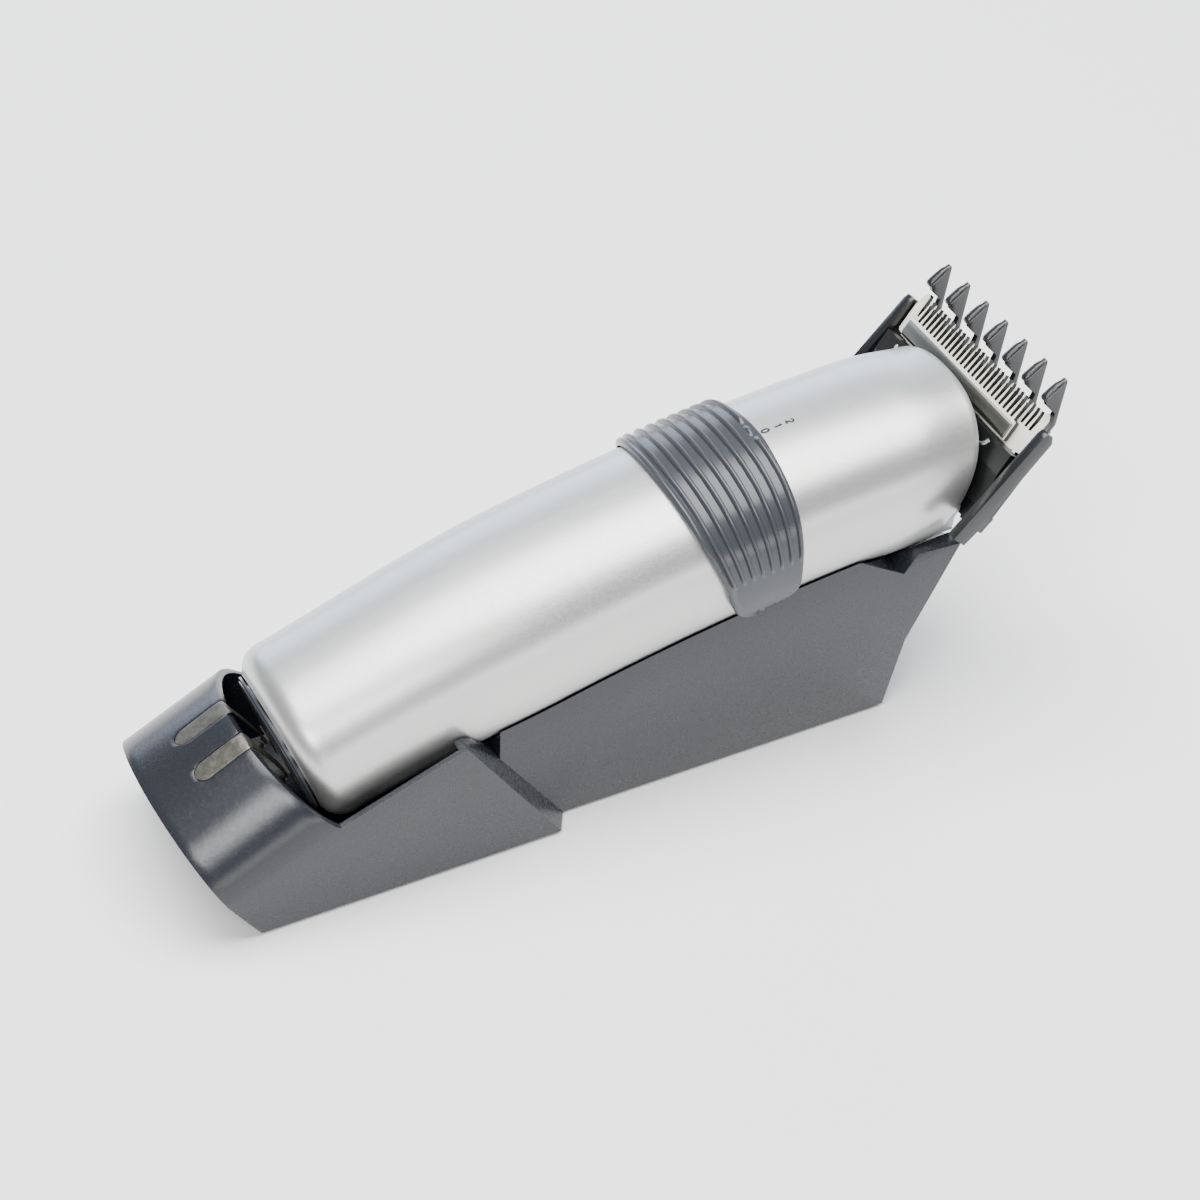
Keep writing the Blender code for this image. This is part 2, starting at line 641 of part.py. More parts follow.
# ------------------------------------------------------------- cutting head
def make_head():
    """The black head: a plug in the nose and a wedge that carries the blades."""
    stations = [139.5, 143.0, NOSE_X - 1.0, NOSE_X + 1.2]
    head = body_solid("head_frame", stations, -SHELL_WALL - 0.65, 30)
    wedge = blade_outline([(-9.3, 0.3), (-9.3, 2.6), (-14.0, 2.6), (-19.0, 1.2), (-21.5, 0.8), (-21.5, 0.3)])
    tongue = blade_outline([(-18.0, 0.3), (-18.0, 2.2), (-24.0, 2.0), (-27.0, 0.8), (-27.0, 0.3)])
    wedges = [side_plate("blade_wedge", wedge, -22.2, 22.2, "black_plastic")]
    wedges.append(side_plate("wedge_tongue", tongue, -13.4, 13.4, "black_plastic"))
    combine(head, wedges, "UNION", "MANIFOLD")
    head.data.materials[0] = material("black_plastic")
    driver_top = 54.9
    channel = [(130.0, 42.0), (144.6, 42.0)] + blade_outline([(-24.0, 1.5), (-16.0, 1.5), (-15.5, 0.0)])
    channel += blade_outline([(-9.0, 0.0), (-9.0, 1.8), (-12.6, 1.8)]) + [(130.0, driver_top)]
    room = side_plate("driver_channel", channel, -7.3, 7.3, "black_plastic")
    groove = blade_outline([(-13.6, 3.9), (-10.5, 3.2), (-10.5, 6.0), (-13.6, 6.0)])
    holes = [side_plate("spring_groove", groove, -17.5, 17.5, "black_plastic")]
    for number, y in enumerate(BLADE_SCREWS):
        x, z = blade_xz(-13.2, -0.5)
        up = (BLADE_UP[0], 0.0, BLADE_UP[1])
        holes.append(turned(f"blade_hole_{number}", (x, y, z), up, [(0.0, 1.3), (4.0, 1.3)], "black_plastic", 12))
    cut(head, [room] + holes, "MANIFOLD")


def make_fixed_blade():
    """The comb-edged fixed blade with a wide tooth at each end, and its screws."""
    first = -BLADE_PITCH * (BLADE_TEETH - 1) / 2.0
    outline = [(-18.0, -16.5), (-18.0, -10.0), (-22.5, -8.4), (-22.5, -3.0), (-21.9, 0.3), (-20.9, 0.6), (-20.3, -4.2)]
    for number in range(BLADE_TEETH):
        centre = first + number * BLADE_PITCH
        reach = 0.3 * BLADE_PITCH
        outline += [(centre - reach, -4.2), (centre - 0.16, 0.0), (centre + 0.16, 0.0), (centre + reach, -4.2)]
    outline += [(20.3, -4.2), (20.9, 0.6), (21.9, 0.3), (22.5, -3.0), (22.5, -8.4), (18.0, -10.0), (18.0, -16.5)]
    rings = []
    for level in (-1.5, 0.0):
        rings.append([(blade_xz(ahead, level)[0], y, blade_xz(ahead, level)[1]) for y, ahead in outline])
    blade = loft("fixed_blade", rings, "blade_steel")
    holes = []
    up = (BLADE_UP[0], 0.0, BLADE_UP[1])
    for number, y in enumerate(BLADE_SCREWS):
        x, z = blade_xz(-13.2, -2.0)
        shape = [(-1.0, 2.5), (1.15, 2.5), (1.15, 1.4), (4.0, 1.4)]
        holes.append(turned(f"fixed_blade_hole_{number}", (x, y, z), up, shape, "blade_steel", 16))
        shape = [(0.0, 2.0), (0.15, 2.2), (0.8, 2.2), (0.8, 1.0), (4.3, 1.0)]
        x, z = blade_xz(-13.2, -1.85)
        turned(f"blade_screw_{number + 1}", (x, y, z), up, shape, "spring_steel", 12)
    cut(blade, holes)


def make_moving_blade():
    """The moving blade with its stiff bar, and the forked driver behind it."""
    half = 18.6
    teeth = BLADE_TEETH - 3
    first = -BLADE_PITCH * (teeth - 1) / 2.0
    blade = toothed_plate(
        "moving_blade", half, first, BLADE_PITCH, teeth, -4.5, -0.6, -8.8, 0.3, 1.3, "blade_steel", BLADE_STROKE / 2.0
    )
    bar = blade_outline([(-8.2, 1.0), (-5.0, 1.0), (-5.0, 1.9), (-7.7, 2.1), (-8.2, 1.7)])
    shift = BLADE_STROKE / 2.0
    add(blade, [side_plate("blade_bar", bar, -half + 0.2 + shift, half - 0.2 + shift, "blade_steel")])
    fork_x = motor_point(32.4)[0]
    near = blade_xz(-9.1, 0.5)
    far = blade_xz(-9.1, 1.4)
    bend_low = blade_xz(-14.0, 0.5)
    bend_high = blade_xz(-13.0, 1.5)
    outline = [near, far, bend_high, (fork_x, bend_high[1]), (fork_x, 46.2), (fork_x + 1.5, 46.2)]
    outline += [(fork_x + 1.5, bend_low[1]), bend_low]
    driver = side_plate("blade_driver", outline, -5.2 + shift, 5.2 + shift, "light_grey_plastic")
    pin_z = motor_point(33.0)[2]
    slot = block(
        "fork_slot",
        (fork_x - 3.0, -3.5 + shift, 40.0),
        (fork_x + 3.0, 3.5 + shift, pin_z + 2.4),
        "light_grey_plastic",
    )
    cut(driver, [slot])


def make_spring():
    """The bent wire that presses the moving blade on the fixed blade."""
    run = [(-16.6, -9.9, 3.6), (-16.2, -11.0, 3.9), (-15.0, -11.8, 3.95), (-12.5, -12.7, 4.35), (-8.0, -13.0, 4.6)]
    run += [(-across, ahead, above) for across, ahead, above in run[::-1]]
    radius = 0.42
    rings = []
    centres = []
    for across, ahead, above in run:
        x, z = blade_xz(ahead, above)
        centres.append(np.array((x, across, z)))
    up = np.array((BLADE_UP[0], 0.0, BLADE_UP[1]))
    for number, centre in enumerate(centres):
        before = centres[max(number - 1, 0)]
        after = centres[min(number + 1, len(centres) - 1)]
        along = (after - before) / np.linalg.norm(after - before)
        side = np.cross(along, up)
        side /= np.linalg.norm(side)
        over = np.cross(side, along)
        ring = []
        for angle in angles(0.0, 2.0 * math.pi, 9)[:-1]:
            ring.append(tuple(centre + radius * (math.cos(angle) * side + math.sin(angle) * over)))
        rings.append(ring)
    loft("tension_spring", rings, "spring_steel")


def make_comb():
    """The clip-on guard comb: two arms, two cross bars and harpoon teeth."""
    arm = [(141.2, 44.2), (158.6, 62.4), (159.6, 62.9), (160.8, 62.0), (160.8, 60.2), (146.1, 43.9), (143.7, 41.8)]
    comb = side_plate("guard_comb", arm, -25.0, -23.0, "comb_plastic")
    others = [side_plate("far_arm", arm, 23.0, 25.0, "comb_plastic")]
    ledge = [(141.9, 43.5), (150.6, 52.8), (152.8, 50.6), (146.2, 43.6), (143.8, 41.6)]
    web = blade_outline([(-22.0, -2.6), (-22.0, 0.0), (-25.5, 0.6), (-25.5, -2.0)])
    front_bar = blade_outline([(-2.6, -4.3), (-2.3, -2.3), (-6.0, -2.3), (-6.0, -4.1)])
    flange = [(-3.0, -2.9), (-3.0, -2.0), (-9.0, -1.75), (-18.5, -0.05), (-21.5, 0.05), (-25.5, 0.6), (-25.5, -2.1)]
    link = blade_outline(flange)
    rear_bar = blade_outline([(-21.0, -3.6), (-21.0, -2.1), (-22.6, -0.9), (-25.5, -0.7), (-25.5, -2.2)])
    for name, side in (("near", -1.0), ("far", 1.0)):
        low, high = sorted((side * 22.8, side * 24.0))
        others.append(side_plate(f"{name}_ledge", ledge, low, high, "comb_plastic"))
        low, high = sorted((side * 20.8, side * 23.6))
        others.append(side_plate(f"{name}_web", web, low, high, "comb_plastic"))
        low, high = sorted((side * 19.0, side * 23.6))
        others.append(side_plate(f"{name}_link", link, low, high, "comb_plastic"))
    others.append(side_plate("front_bar", front_bar, -21.0, 21.0, "comb_plastic"))
    others.append(side_plate("rear_bar", rear_bar, -22.0, 22.0, "comb_plastic"))
    tooth = [(-22.5, -3.4), (-3.0, -4.2), (-1.0, -4.4), (7.6, 0.0), (8.1, 0.45), (7.8, 0.9), (3.1, 2.85)]
    tooth += [(2.6, 2.75), (2.55, 2.1), (1.6, 1.0), (0.9, -2.2), (-2.0, -2.9), (-22.5, -2.3)]
    plate = blade_outline(tooth)
    for number in range(COMB_TEETH):
        y = (number - (COMB_TEETH - 1) / 2.0) * COMB_PITCH
        others.append(side_plate(f"comb_tooth_{number + 1}", plate, y - 0.7, y + 0.7, "comb_plastic"))
    combine(comb, others, "UNION", "MANIFOLD")


make_housing()
make_base()
for contact_side, contact_y in SLOTS:
    make_contact(contact_side, contact_y)
make_socket()
make_shells()
make_tail()
make_ring()
make_inside()
make_drive()
make_head()
make_fixed_blade()
make_moving_blade()
make_spring()
make_comb()
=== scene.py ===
"""The looks of a cordless hair clipper lying in its charging stand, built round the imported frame.

Layout lengths are millimetres: x runs from the stand's rear bottom edge towards
the cutting head, y across, z up from the underside of the housing.  to_metres()
turns layout points into the frame's metres.
"""

import logging
import math
from dataclasses import dataclass
from enum import Enum
from typing import Optional, Sequence

import bmesh
import bpy
import numpy as np
from mathutils import Matrix, Vector

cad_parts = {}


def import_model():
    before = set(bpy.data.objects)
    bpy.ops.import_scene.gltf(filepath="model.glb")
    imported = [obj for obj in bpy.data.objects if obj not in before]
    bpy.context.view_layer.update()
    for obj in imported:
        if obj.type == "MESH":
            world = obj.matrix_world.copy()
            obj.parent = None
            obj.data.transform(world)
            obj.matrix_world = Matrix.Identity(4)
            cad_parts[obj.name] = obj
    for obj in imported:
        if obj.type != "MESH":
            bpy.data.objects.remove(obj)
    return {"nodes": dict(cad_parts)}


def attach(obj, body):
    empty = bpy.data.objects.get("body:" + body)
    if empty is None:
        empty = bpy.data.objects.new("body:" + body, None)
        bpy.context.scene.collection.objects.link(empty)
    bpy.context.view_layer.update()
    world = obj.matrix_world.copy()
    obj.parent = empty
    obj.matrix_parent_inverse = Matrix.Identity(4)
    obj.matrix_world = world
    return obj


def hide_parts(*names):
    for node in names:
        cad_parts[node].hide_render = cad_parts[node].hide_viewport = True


MM = 0.001
ORIGIN_X = 76.45
FOOT_DROP = 0.8
SMOOTH_DEG = 35.0
SPECK_GAP_MM = 2.6
MERGE_M = 1e-7
LOG = logging.getLogger("hair_clipper")

Node = bpy.types.Node
Tree = bpy.types.NodeTree
Piece = bpy.types.Object
Array = np.ndarray
Faces = Sequence[Sequence[int]]
Pairs = Sequence[Sequence[float]]
Triple = tuple[float, float, float]


# ------------------------------------------------------------------ small sums
def to_metres(points: Array) -> Array:
    """Layout millimetres to frame metres: shift by the origin, then scale."""
    return (np.asarray(points, float) + np.array([-ORIGIN_X, 0.0, FOOT_DROP])) * MM


def ease(value: Array, low: float, high: float) -> Array:
    """Smooth step: 0 below low, 1 above high, 3t^2 - 2t^3 between them."""
    part = np.clip((np.asarray(value, float) - low) / (high - low), 0.0, 1.0)
    return part * part * (3.0 - 2.0 * part)


def signed_power(value: Array, power: float) -> Array:
    """The size of value raised to power, with the sign of value."""
    return np.sign(value) * np.abs(value) ** power


def hex_to_linear(code: str) -> tuple[float, float, float, float]:
    """An sRGB hex colour as linear red, green, blue and alpha 1.

    Args:
        code: six hex digits, with or without a leading hash.

    Returns:
        Four numbers for a shader's colour socket.
    """
    parts = np.array([int(code.lstrip("#")[k:k + 2], 16) for k in (0, 2, 4)]) / 255.0
    linear = np.where(parts <= 0.04045, parts / 12.92, ((parts + 0.055) / 1.055) ** 2.4)
    return (float(linear[0]), float(linear[1]), float(linear[2]), 1.0)


# ------------------------------------------------------------------ mesh makers
def tube_faces(rows: int, cols: int) -> Array:
    """Quads over a grid of points whose rows are closed rings.

    Args:
        rows: number of rings.
        cols: number of points in a ring.

    Returns:
        An array of four point numbers for each quad.
    """
    number = np.arange(rows * cols).reshape(rows, cols)
    number = np.hstack([number, number[:, :1]])
    corners = [number[:-1, :-1], number[:-1, 1:], number[1:, 1:], number[1:, :-1]]
    return np.stack(corners, -1).reshape(-1, 4)


def make_mesh(name: str, points: Array, faces: Faces, smooth_deg: float = SMOOTH_DEG) -> Piece:
    """A mesh object at the origin from layout points and faces.

    Args:
        name: the piece's name.
        points: layout points in millimetres, one row each.
        faces: point numbers of each face.
        smooth_deg: edges sharper than this stay sharp.

    Returns:
        The new object, with its normals facing outwards.
    """
    mesh = bpy.data.meshes.new(name)
    mesh.from_pydata(to_metres(points).tolist(), [], [list(map(int, face)) for face in faces])
    shaper = bmesh.new()
    shaper.from_mesh(mesh)
    bmesh.ops.remove_doubles(shaper, verts=shaper.verts, dist=MERGE_M)
    many_sided = [face for face in shaper.faces if len(face.verts) > 4]
    bmesh.ops.triangulate(shaper, faces=many_sided)
    bmesh.ops.recalc_face_normals(shaper, faces=shaper.faces)
    shaper.to_mesh(mesh)
    shaper.free()
    mesh.shade_smooth()
    mesh.set_sharp_from_angle(angle=math.radians(smooth_deg))
    piece = bpy.data.objects.new(name, mesh)
    bpy.context.scene.collection.objects.link(piece)
    return piece


def lofted(name: str, rings: Array, smooth_deg: float = SMOOTH_DEG) -> Piece:
    """A closed solid through closed rings of points, its two ends capped.

    Args:
        name: the piece's name.
        rings: points as [ring, point in ring, xyz].
        smooth_deg: edges sharper than this stay sharp.

    Returns:
        The solid.
    """
    rows, cols = rings.shape[:2]
    faces = tube_faces(rows, cols).tolist()
    faces.append(list(range(cols)))
    faces.append(list(range((rows - 1) * cols, rows * cols)))
    return make_mesh(name, rings.reshape(-1, 3), faces, smooth_deg)


def walled(name: str, outer: Array, inner: Array, smooth_deg: float = SMOOTH_DEG) -> Piece:
    """A closed wall between an outer and an inner sheet of the same grid.

    Args:
        name: the piece's name.
        outer: outer sheet as [row, column, xyz].
        inner: inner sheet, matching point for point.
        smooth_deg: edges sharper than this stay sharp.

    Returns:
        The wall, closed along all four borders.
    """
    ring = np.concatenate([outer, inner[:, ::-1]], axis=1)
    rows, cols = ring.shape[:2]
    width = outer.shape[1]
    faces = tube_faces(rows, cols)
    step = np.arange(width - 1)
    near = np.stack([step, step + 1, cols - 2 - step, cols - 1 - step], -1)
    far = near[:, ::-1] + (rows - 1) * cols
    closed = np.vstack([faces, near, far]).tolist()
    return make_mesh(name, ring.reshape(-1, 3), closed, smooth_deg)


def plate(name: str, outline: Array, low: float, high: float) -> Piece:
    """An (x, z) outline carried straight across from y = low to y = high."""
    outline = np.asarray(outline, float)
    rings = np.stack([np.insert(outline, 1, level, axis=1) for level in (low, high)])
    return lofted(name, rings)


def turned(name: str, start: Sequence[float], axis: Sequence[float], profile: Pairs) -> Piece:
    """A profile of (distance along, radius) pairs turned about an axis.

    Args:
        name: the piece's name.
        start: where distance 0 lies on the axis.
        axis: the axis direction, not along y.
        profile: the pairs, from one end to the other.

    Returns:
        The turned solid.
    """
    sides = 40
    line = np.array(axis, float) / np.linalg.norm(axis)
    first = np.cross(line, [0.0, 1.0, 0.0])
    first /= np.linalg.norm(first)
    second = np.cross(line, first)
    turn = np.linspace(0.0, 2.0 * np.pi, sides, endpoint=False)
    spokes = np.outer(np.cos(turn), first) + np.outer(np.sin(turn), second)
    pairs = np.array(profile, float)
    rings = np.array(start, float) + pairs[:, :1, None] * line + pairs[:, 1:, None] * spokes[None]
    return lofted(name, rings)


def smooth_path(corners: Array, count: int) -> Array:
    """A Catmull-Rom curve through corner points, at even parameter steps.

    Args:
        corners: points as [corner, dimension].
        count: number of points wanted.

    Returns:
        The curve's points.
    """
    corners = np.asarray(corners, float)
    padded = np.vstack([2 * corners[0] - corners[1], corners, 2 * corners[-1] - corners[-2]])
    place = np.linspace(0.0, len(corners) - 1.0, count)
    index = np.minimum(place.astype(int), len(corners) - 2)
    t = (place - index)[:, None]
    a, b, c, d = (padded[index + k] for k in range(4))
    square = (2 * a - 5 * b + 4 * c - d) * t ** 2
    cube = (3 * b - a - 3 * c + d) * t ** 3
    return 0.5 * (2 * b + (c - a) * t + square + cube)


def swept(
    name: str, path: Array, widths: Array, heights: Array, up: Sequence[float], sides: int,
    squareness: float = 2.0,
) -> Piece:
    """A superellipse section carried along a path.

    Args:
        name: the piece's name.
        path: centre points as [point, xyz].
        widths: half-width of the section at each point.
        heights: half-height of the section at each point.
        up: direction that the section's height keeps to.
        sides: points round the section.
        squareness: 2 is round, larger is squarer.

    Returns:
        The swept solid, capped at both ends.
    """
    along = np.gradient(path, axis=0)
    along /= np.linalg.norm(along, axis=1, keepdims=True)
    side = np.cross(along, np.array(up, float))
    side /= np.linalg.norm(side, axis=1, keepdims=True)
    over = np.cross(side, along)
    turn = np.linspace(0.0, 2.0 * np.pi, sides, endpoint=False)
    across = signed_power(np.cos(turn), 2.0 / squareness)[None, :, None]
    rise = signed_power(np.sin(turn), 2.0 / squareness)[None, :, None]
    sideways = across * side[:, None] * widths[:, None, None]
    upward = rise * over[:, None] * heights[:, None, None]
    return lofted(name, path[:, None] + sideways + upward)


def settle(piece: Piece, smooth_deg: float = SMOOTH_DEG) -> Piece:
    """Applies a piece's modifiers for good and marks its sharp edges again.

    Args:
        piece: the object whose modifiers are applied.
        smooth_deg: edges sharper than this stay sharp.

    Returns:
        The same object with a plain mesh.
    """
    bpy.context.view_layer.update()
    graph = bpy.context.evaluated_depsgraph_get()
    mesh = bpy.data.meshes.new_from_object(
        piece.evaluated_get(graph), preserve_all_data_layers=True, depsgraph=graph
    )
    piece.modifiers.clear()
    old = piece.data
    piece.data = mesh
    bpy.data.meshes.remove(old)
    mesh.shade_smooth()
    mesh.set_sharp_from_angle(angle=math.radians(smooth_deg))
    return piece


class Joining(Enum):
    """What combined() does with its tools."""

    ADD = "UNION"
    CUT = "DIFFERENCE"


def combined(piece: Piece, tools: Sequence[Piece], joining: Joining) -> Piece:
    """Joins tools to a piece or cuts them from it, then removes the tools.

    Args:
        piece: the object that is changed.
        tools: the closed solids that are used up.
        joining: whether the tools are added or cut away.

    Returns:
        The changed piece.
    """
    for tool in tools:
        step = piece.modifiers.new(tool.name, "BOOLEAN")
        step.operation = joining.value
        step.object = tool
        step.solver = "MANIFOLD"
    settle(piece)
    for tool in tools:
        bpy.data.objects.remove(tool, do_unlink=True)
    return piece


def rounded(piece: Piece, width: float, segments: int = 2, angle_deg: float = 40.0) -> Piece:
    """Rounds a piece's sharp edges.

    Args:
        piece: the object that is changed.
        width: size of the rounding in millimetres.
        segments: how many faces make the round.
        angle_deg: only edges sharper than this are rounded.

    Returns:
        The same piece.
    """
    step = piece.modifiers.new("edge_round", "BEVEL")
    step.width = width * MM
    step.segments = segments
    step.limit_method = "ANGLE"
    step.angle_limit = math.radians(angle_deg)
    step.use_clamp_overlap = True
    step.harden_normals = False
    rounded_smooth_deg = 30.0
    return settle(piece, rounded_smooth_deg)


# ------------------------------------------------------------------ finishes
def add_node(tree: Tree, kind: str, settings: dict[str, object], sockets: dict[str, object]) -> Node:
    """Adds a node with its settings and links.

    Args:
        tree: the node tree.
        kind: the node's type name.
        settings: attributes set on the node.
        sockets: for each input, a value, or a node output to link from.

    Returns:
        The new node.
    """
    node = tree.nodes.new(kind)
    for key, value in settings.items():
        setattr(node, key, value)
    for key, value in sockets.items():
        socket = node.inputs[int(key)] if key.isdigit() else node.inputs[key]
        if isinstance(value, bpy.types.NodeSocket):
            tree.links.new(value, socket)
        else:
            socket.default_value = value
    return node


class Grain(Enum):
    """How a surface got its fine texture."""

    MOULDED = "moulded"
    SPARKED = "sparked"
    FLAKED = "flaked"
    GROUND = "ground"
    ROLLED = "rolled"


@dataclass(frozen=True)
class Finish:
    """A real material and how its surface was made."""

    name: str
    colour: str
    patch_colour: str
    roughness: float
    metallic: float = 0.0
    grain: Grain = Grain.MOULDED
    grain_mm: float = 0.5
    depth_mm: float = 0.02
    patch_mm: float = 14.0
    rough_spread: float = 0.06
    ior: float = 1.5
    coat: float = 0.0
    coat_roughness: float = 0.1
    dust: float = 0.0
    stretch: Triple = (1.0, 1.0, 1.0)
    # Painted shade: a darker colour for faces that are not square to face_axis; empty for none.
    wall_shade_colour: str = ""
    face_axis: Triple = (0.0, 0.0, 1.0)

    def make(self) -> bpy.types.Material:
        """Builds the node material, with every pattern in real millimetres.

        Returns:
            The material.
        """
        made = bpy.data.materials.new(self.name)
        made.use_nodes = True
        tree = made.node_tree
        tree.nodes.clear()
        place = add_node(tree, "ShaderNodeTexCoord", {}, {}).outputs["Object"]
        stretched = add_node(
            tree, "ShaderNodeMapping", {}, {"Vector": place, "Scale": self.stretch},
        ).outputs["Vector"]
        patch = add_node(
            tree, "ShaderNodeTexNoise", {},
            {"Vector": place, "Scale": 1.0 / (self.patch_mm * MM), "Detail": 4.0, "Roughness": 0.55},
        ).outputs["Fac"]
        grain, height = self.grain_nodes(tree, stretched)
        colour = add_node(
            tree, "ShaderNodeMix", {"data_type": "RGBA"},
            {"0": patch, "6": hex_to_linear(self.colour), "7": hex_to_linear(self.patch_colour)},
        ).outputs[2]
        if self.dust > 0.0:
            colour = self.dusted(tree, place, colour)
        # Painted shade: faces turned away from face_axis get the darker wall colour.
        if self.wall_shade_colour:
            colour = self.paint_wall_shade(tree, colour)
        low = max(self.roughness - self.rough_spread, 0.02)
        rough = add_node(
            tree, "ShaderNodeMapRange", {},
            {"Value": grain, "To Min": low, "To Max": self.roughness + self.rough_spread},
        ).outputs["Result"]
        normal = add_node(
            tree, "ShaderNodeBump", {},
            {"Height": height, "Strength": 1.0, "Distance": self.depth_mm * MM},
        ).outputs["Normal"]
        shader = add_node(
            tree, "ShaderNodeBsdfPrincipled", {},
            {"Base Color": colour, "Roughness": rough, "Normal": normal, "Metallic": self.metallic,
             "IOR": self.ior, "Coat Weight": self.coat, "Coat Roughness": self.coat_roughness},
        )
        add_node(tree, "ShaderNodeOutputMaterial", {}, {"Surface": shader.outputs["BSDF"]})
        return made

    def grain_nodes(self, tree: Tree, place: object) -> tuple[object, object]:
        """The fine texture: one output for roughness and one for height.

        Args:
            tree: the node tree.
            place: stretched object coordinates.

        Returns:
            The grain output and the height output.
        """
        scale = 1.0 / (self.grain_mm * MM)
        if self.grain is Grain.FLAKED:
            cells = add_node(tree, "ShaderNodeTexVoronoi", {}, {"Vector": place, "Scale": scale})
            flake = add_node(
                tree, "ShaderNodeSeparateColor", {}, {"Color": cells.outputs["Color"]},
            ).outputs["Red"]
            swell = add_node(
                tree, "ShaderNodeTexNoise", {}, {"Vector": place, "Scale": scale * 0.3, "Detail": 2.0},
            ).outputs["Fac"]
            return flake, swell
        detail = {Grain.MOULDED: 3.0, Grain.SPARKED: 6.0, Grain.GROUND: 5.0, Grain.ROLLED: 4.0}[self.grain]
        fine = add_node(
            tree, "ShaderNodeTexNoise", {},
            {"Vector": place, "Scale": scale, "Detail": detail, "Roughness": 0.6},
        ).outputs["Fac"]
        return fine, fine

    def paint_wall_shade(self, tree: Tree, colour: object) -> object:
        """Keeps the colour on faces square to face_axis and paints shade on the walls as a darker colour.

        Args:
            tree: the node tree.
            colour: the colour output of the ground face.

        Returns:
            The mixed colour output.
        """
        facing = add_node(tree, "ShaderNodeTexCoord", {}, {}).outputs["Normal"]
        toward = add_node(
            tree, "ShaderNodeVectorMath", {"operation": "DOT_PRODUCT"}, {"0": facing, "1": self.face_axis},
        )
        share = add_node(
            tree, "ShaderNodeMapRange", {},
            {"Value": toward.outputs["Value"], "From Min": 0.55, "From Max": 0.8},
        ).outputs["Result"]
        return add_node(
            tree, "ShaderNodeMix", {"data_type": "RGBA"},
            {"0": share, "6": hex_to_linear(self.wall_shade_colour), "7": colour},
        ).outputs[2]

    def dusted(self, tree: Tree, place: object, colour: object) -> object:
        """Scatters pale dust specks, about 0.2 mm across, over the colour.

        Args:
            tree: the node tree.
            place: object coordinates.
            colour: the colour output under the dust.

        Returns:
            The dusted colour output.
        """
        scale = 1.0 / (SPECK_GAP_MM * MM)
        cells = add_node(tree, "ShaderNodeTexVoronoi", {}, {"Vector": place, "Scale": scale})
        speck = add_node(
            tree, "ShaderNodeMapRange", {},
            {"Value": cells.outputs["Distance"], "From Min": 0.03, "From Max": 0.06, "To Min": self.dust,
             "To Max": 0.0},
        ).outputs["Result"]
        return add_node(
            tree, "ShaderNodeMix", {"data_type": "RGBA"},
            {"0": speck, "6": colour, "7": hex_to_linear("#9A9C9F")},
        ).outputs[2]


# Silver lacquer sprayed over moulded ABS: aluminium flake under a clear film, so
# the eye sees a soft metal sheen with a faint sparkle.  Real flake is about
# 0.05 mm; it is drawn at 0.22 mm so that it shows.
SILVER_LACQUER = Finish(
    name="silver_lacquer", colour="#C3C4C1", patch_colour="#BDBEBC", roughness=0.38, metallic=0.82,
    grain=Grain.FLAKED, grain_mm=0.22, depth_mm=0.004, patch_mm=40.0, rough_spread=0.05, coat=0.2,
    coat_roughness=0.2,
)
# Spark-eroded grey ABS: fine satin texture of about 0.3 mm with worn glossier crests.
RING_ABS = Finish(
    name="grey_satin_abs", colour="#3A3D41", patch_colour="#33363A", roughness=0.23, grain=Grain.SPARKED,
    grain_mm=0.35, depth_mm=0.012, patch_mm=9.0, rough_spread=0.08,
)
# Light grey ABS of the lower shell, moulded smooth.
PALE_ABS = Finish(
    name="light_grey_abs", colour="#8B9096", patch_colour="#83888E", roughness=0.32, grain_mm=0.5,
    depth_mm=0.006, patch_mm=12.0,
)
# Dark grey ABS of the stand, polished in the mould: slight orange peel and a little dust.
STAND_ABS = Finish(
    name="polished_dark_abs", colour="#23252B", patch_colour="#1D1F24", roughness=0.26, grain=Grain.SPARKED,
    grain_mm=0.9, depth_mm=0.014, patch_mm=22.0, rough_spread=0.09, dust=0.1,
)
# Glass-filled black nylon: matt, with a faint fibre bloom.
HEAD_NYLON = Finish(
    name="black_nylon", colour="#0E0F10", patch_colour="#131415", roughness=0.38, grain=Grain.SPARKED,
    grain_mm=0.4, depth_mm=0.015, patch_mm=6.0,
)
# Charcoal polypropylene of the comb: glossy, slightly wavy from the mould.
COMB_POLYPROPYLENE = Finish(
    name="charcoal_polypropylene", colour="#1D1E21", patch_colour="#18191B", roughness=0.2, grain_mm=1.1,
    depth_mm=0.02, patch_mm=8.0, rough_spread=0.05,
)
# Ground hardened steel: fine grinding lines along the teeth, about 0.1 mm apart.
GROUND_STEEL = Finish(
    name="ground_blade_steel", colour="#83847F", patch_colour="#767772", roughness=0.34, metallic=1.0,
    grain=Grain.GROUND, grain_mm=0.5, depth_mm=0.006, patch_mm=5.0, rough_spread=0.1,
    stretch=(1.0, 5.0, 1.0),
)
# Bright ground cutting edge steel. Its cream base colour is a painted reflection of a pale room, and the dark
# colour on its walls, the faces that are not square to the blade, is painted shade.
BRIGHT_STEEL = Finish(
    name="bright_edge_steel", colour="#F7F5EA", patch_colour="#EEEBDD", roughness=0.38, metallic=0.15,
    grain=Grain.GROUND, grain_mm=0.4, depth_mm=0.004, patch_mm=4.0, rough_spread=0.08,
    stretch=(1.0, 4.0, 1.0), wall_shade_colour="#2C2C2A", face_axis=(-0.8192, 0.0, 0.5736),
)
# Drawn and zinc-plated wire and screws.
ZINC_WIRE = Finish(
    name="zinc_plated_wire", colour="#B4B5B2", patch_colour="#9C9D9A", roughness=0.3, metallic=1.0,
    grain=Grain.ROLLED, grain_mm=0.3, depth_mm=0.003, patch_mm=3.0,
)
# Nickel-plated spring strip, dulled by handling: blotchy and faintly hammered.
NICKEL_STRIP = Finish(
    name="nickel_strip", colour="#73716A", patch_colour="#45433D", roughness=0.36, metallic=0.75,
    grain=Grain.ROLLED, grain_mm=1.6, depth_mm=0.12, patch_mm=1.5, rough_spread=0.12,
)
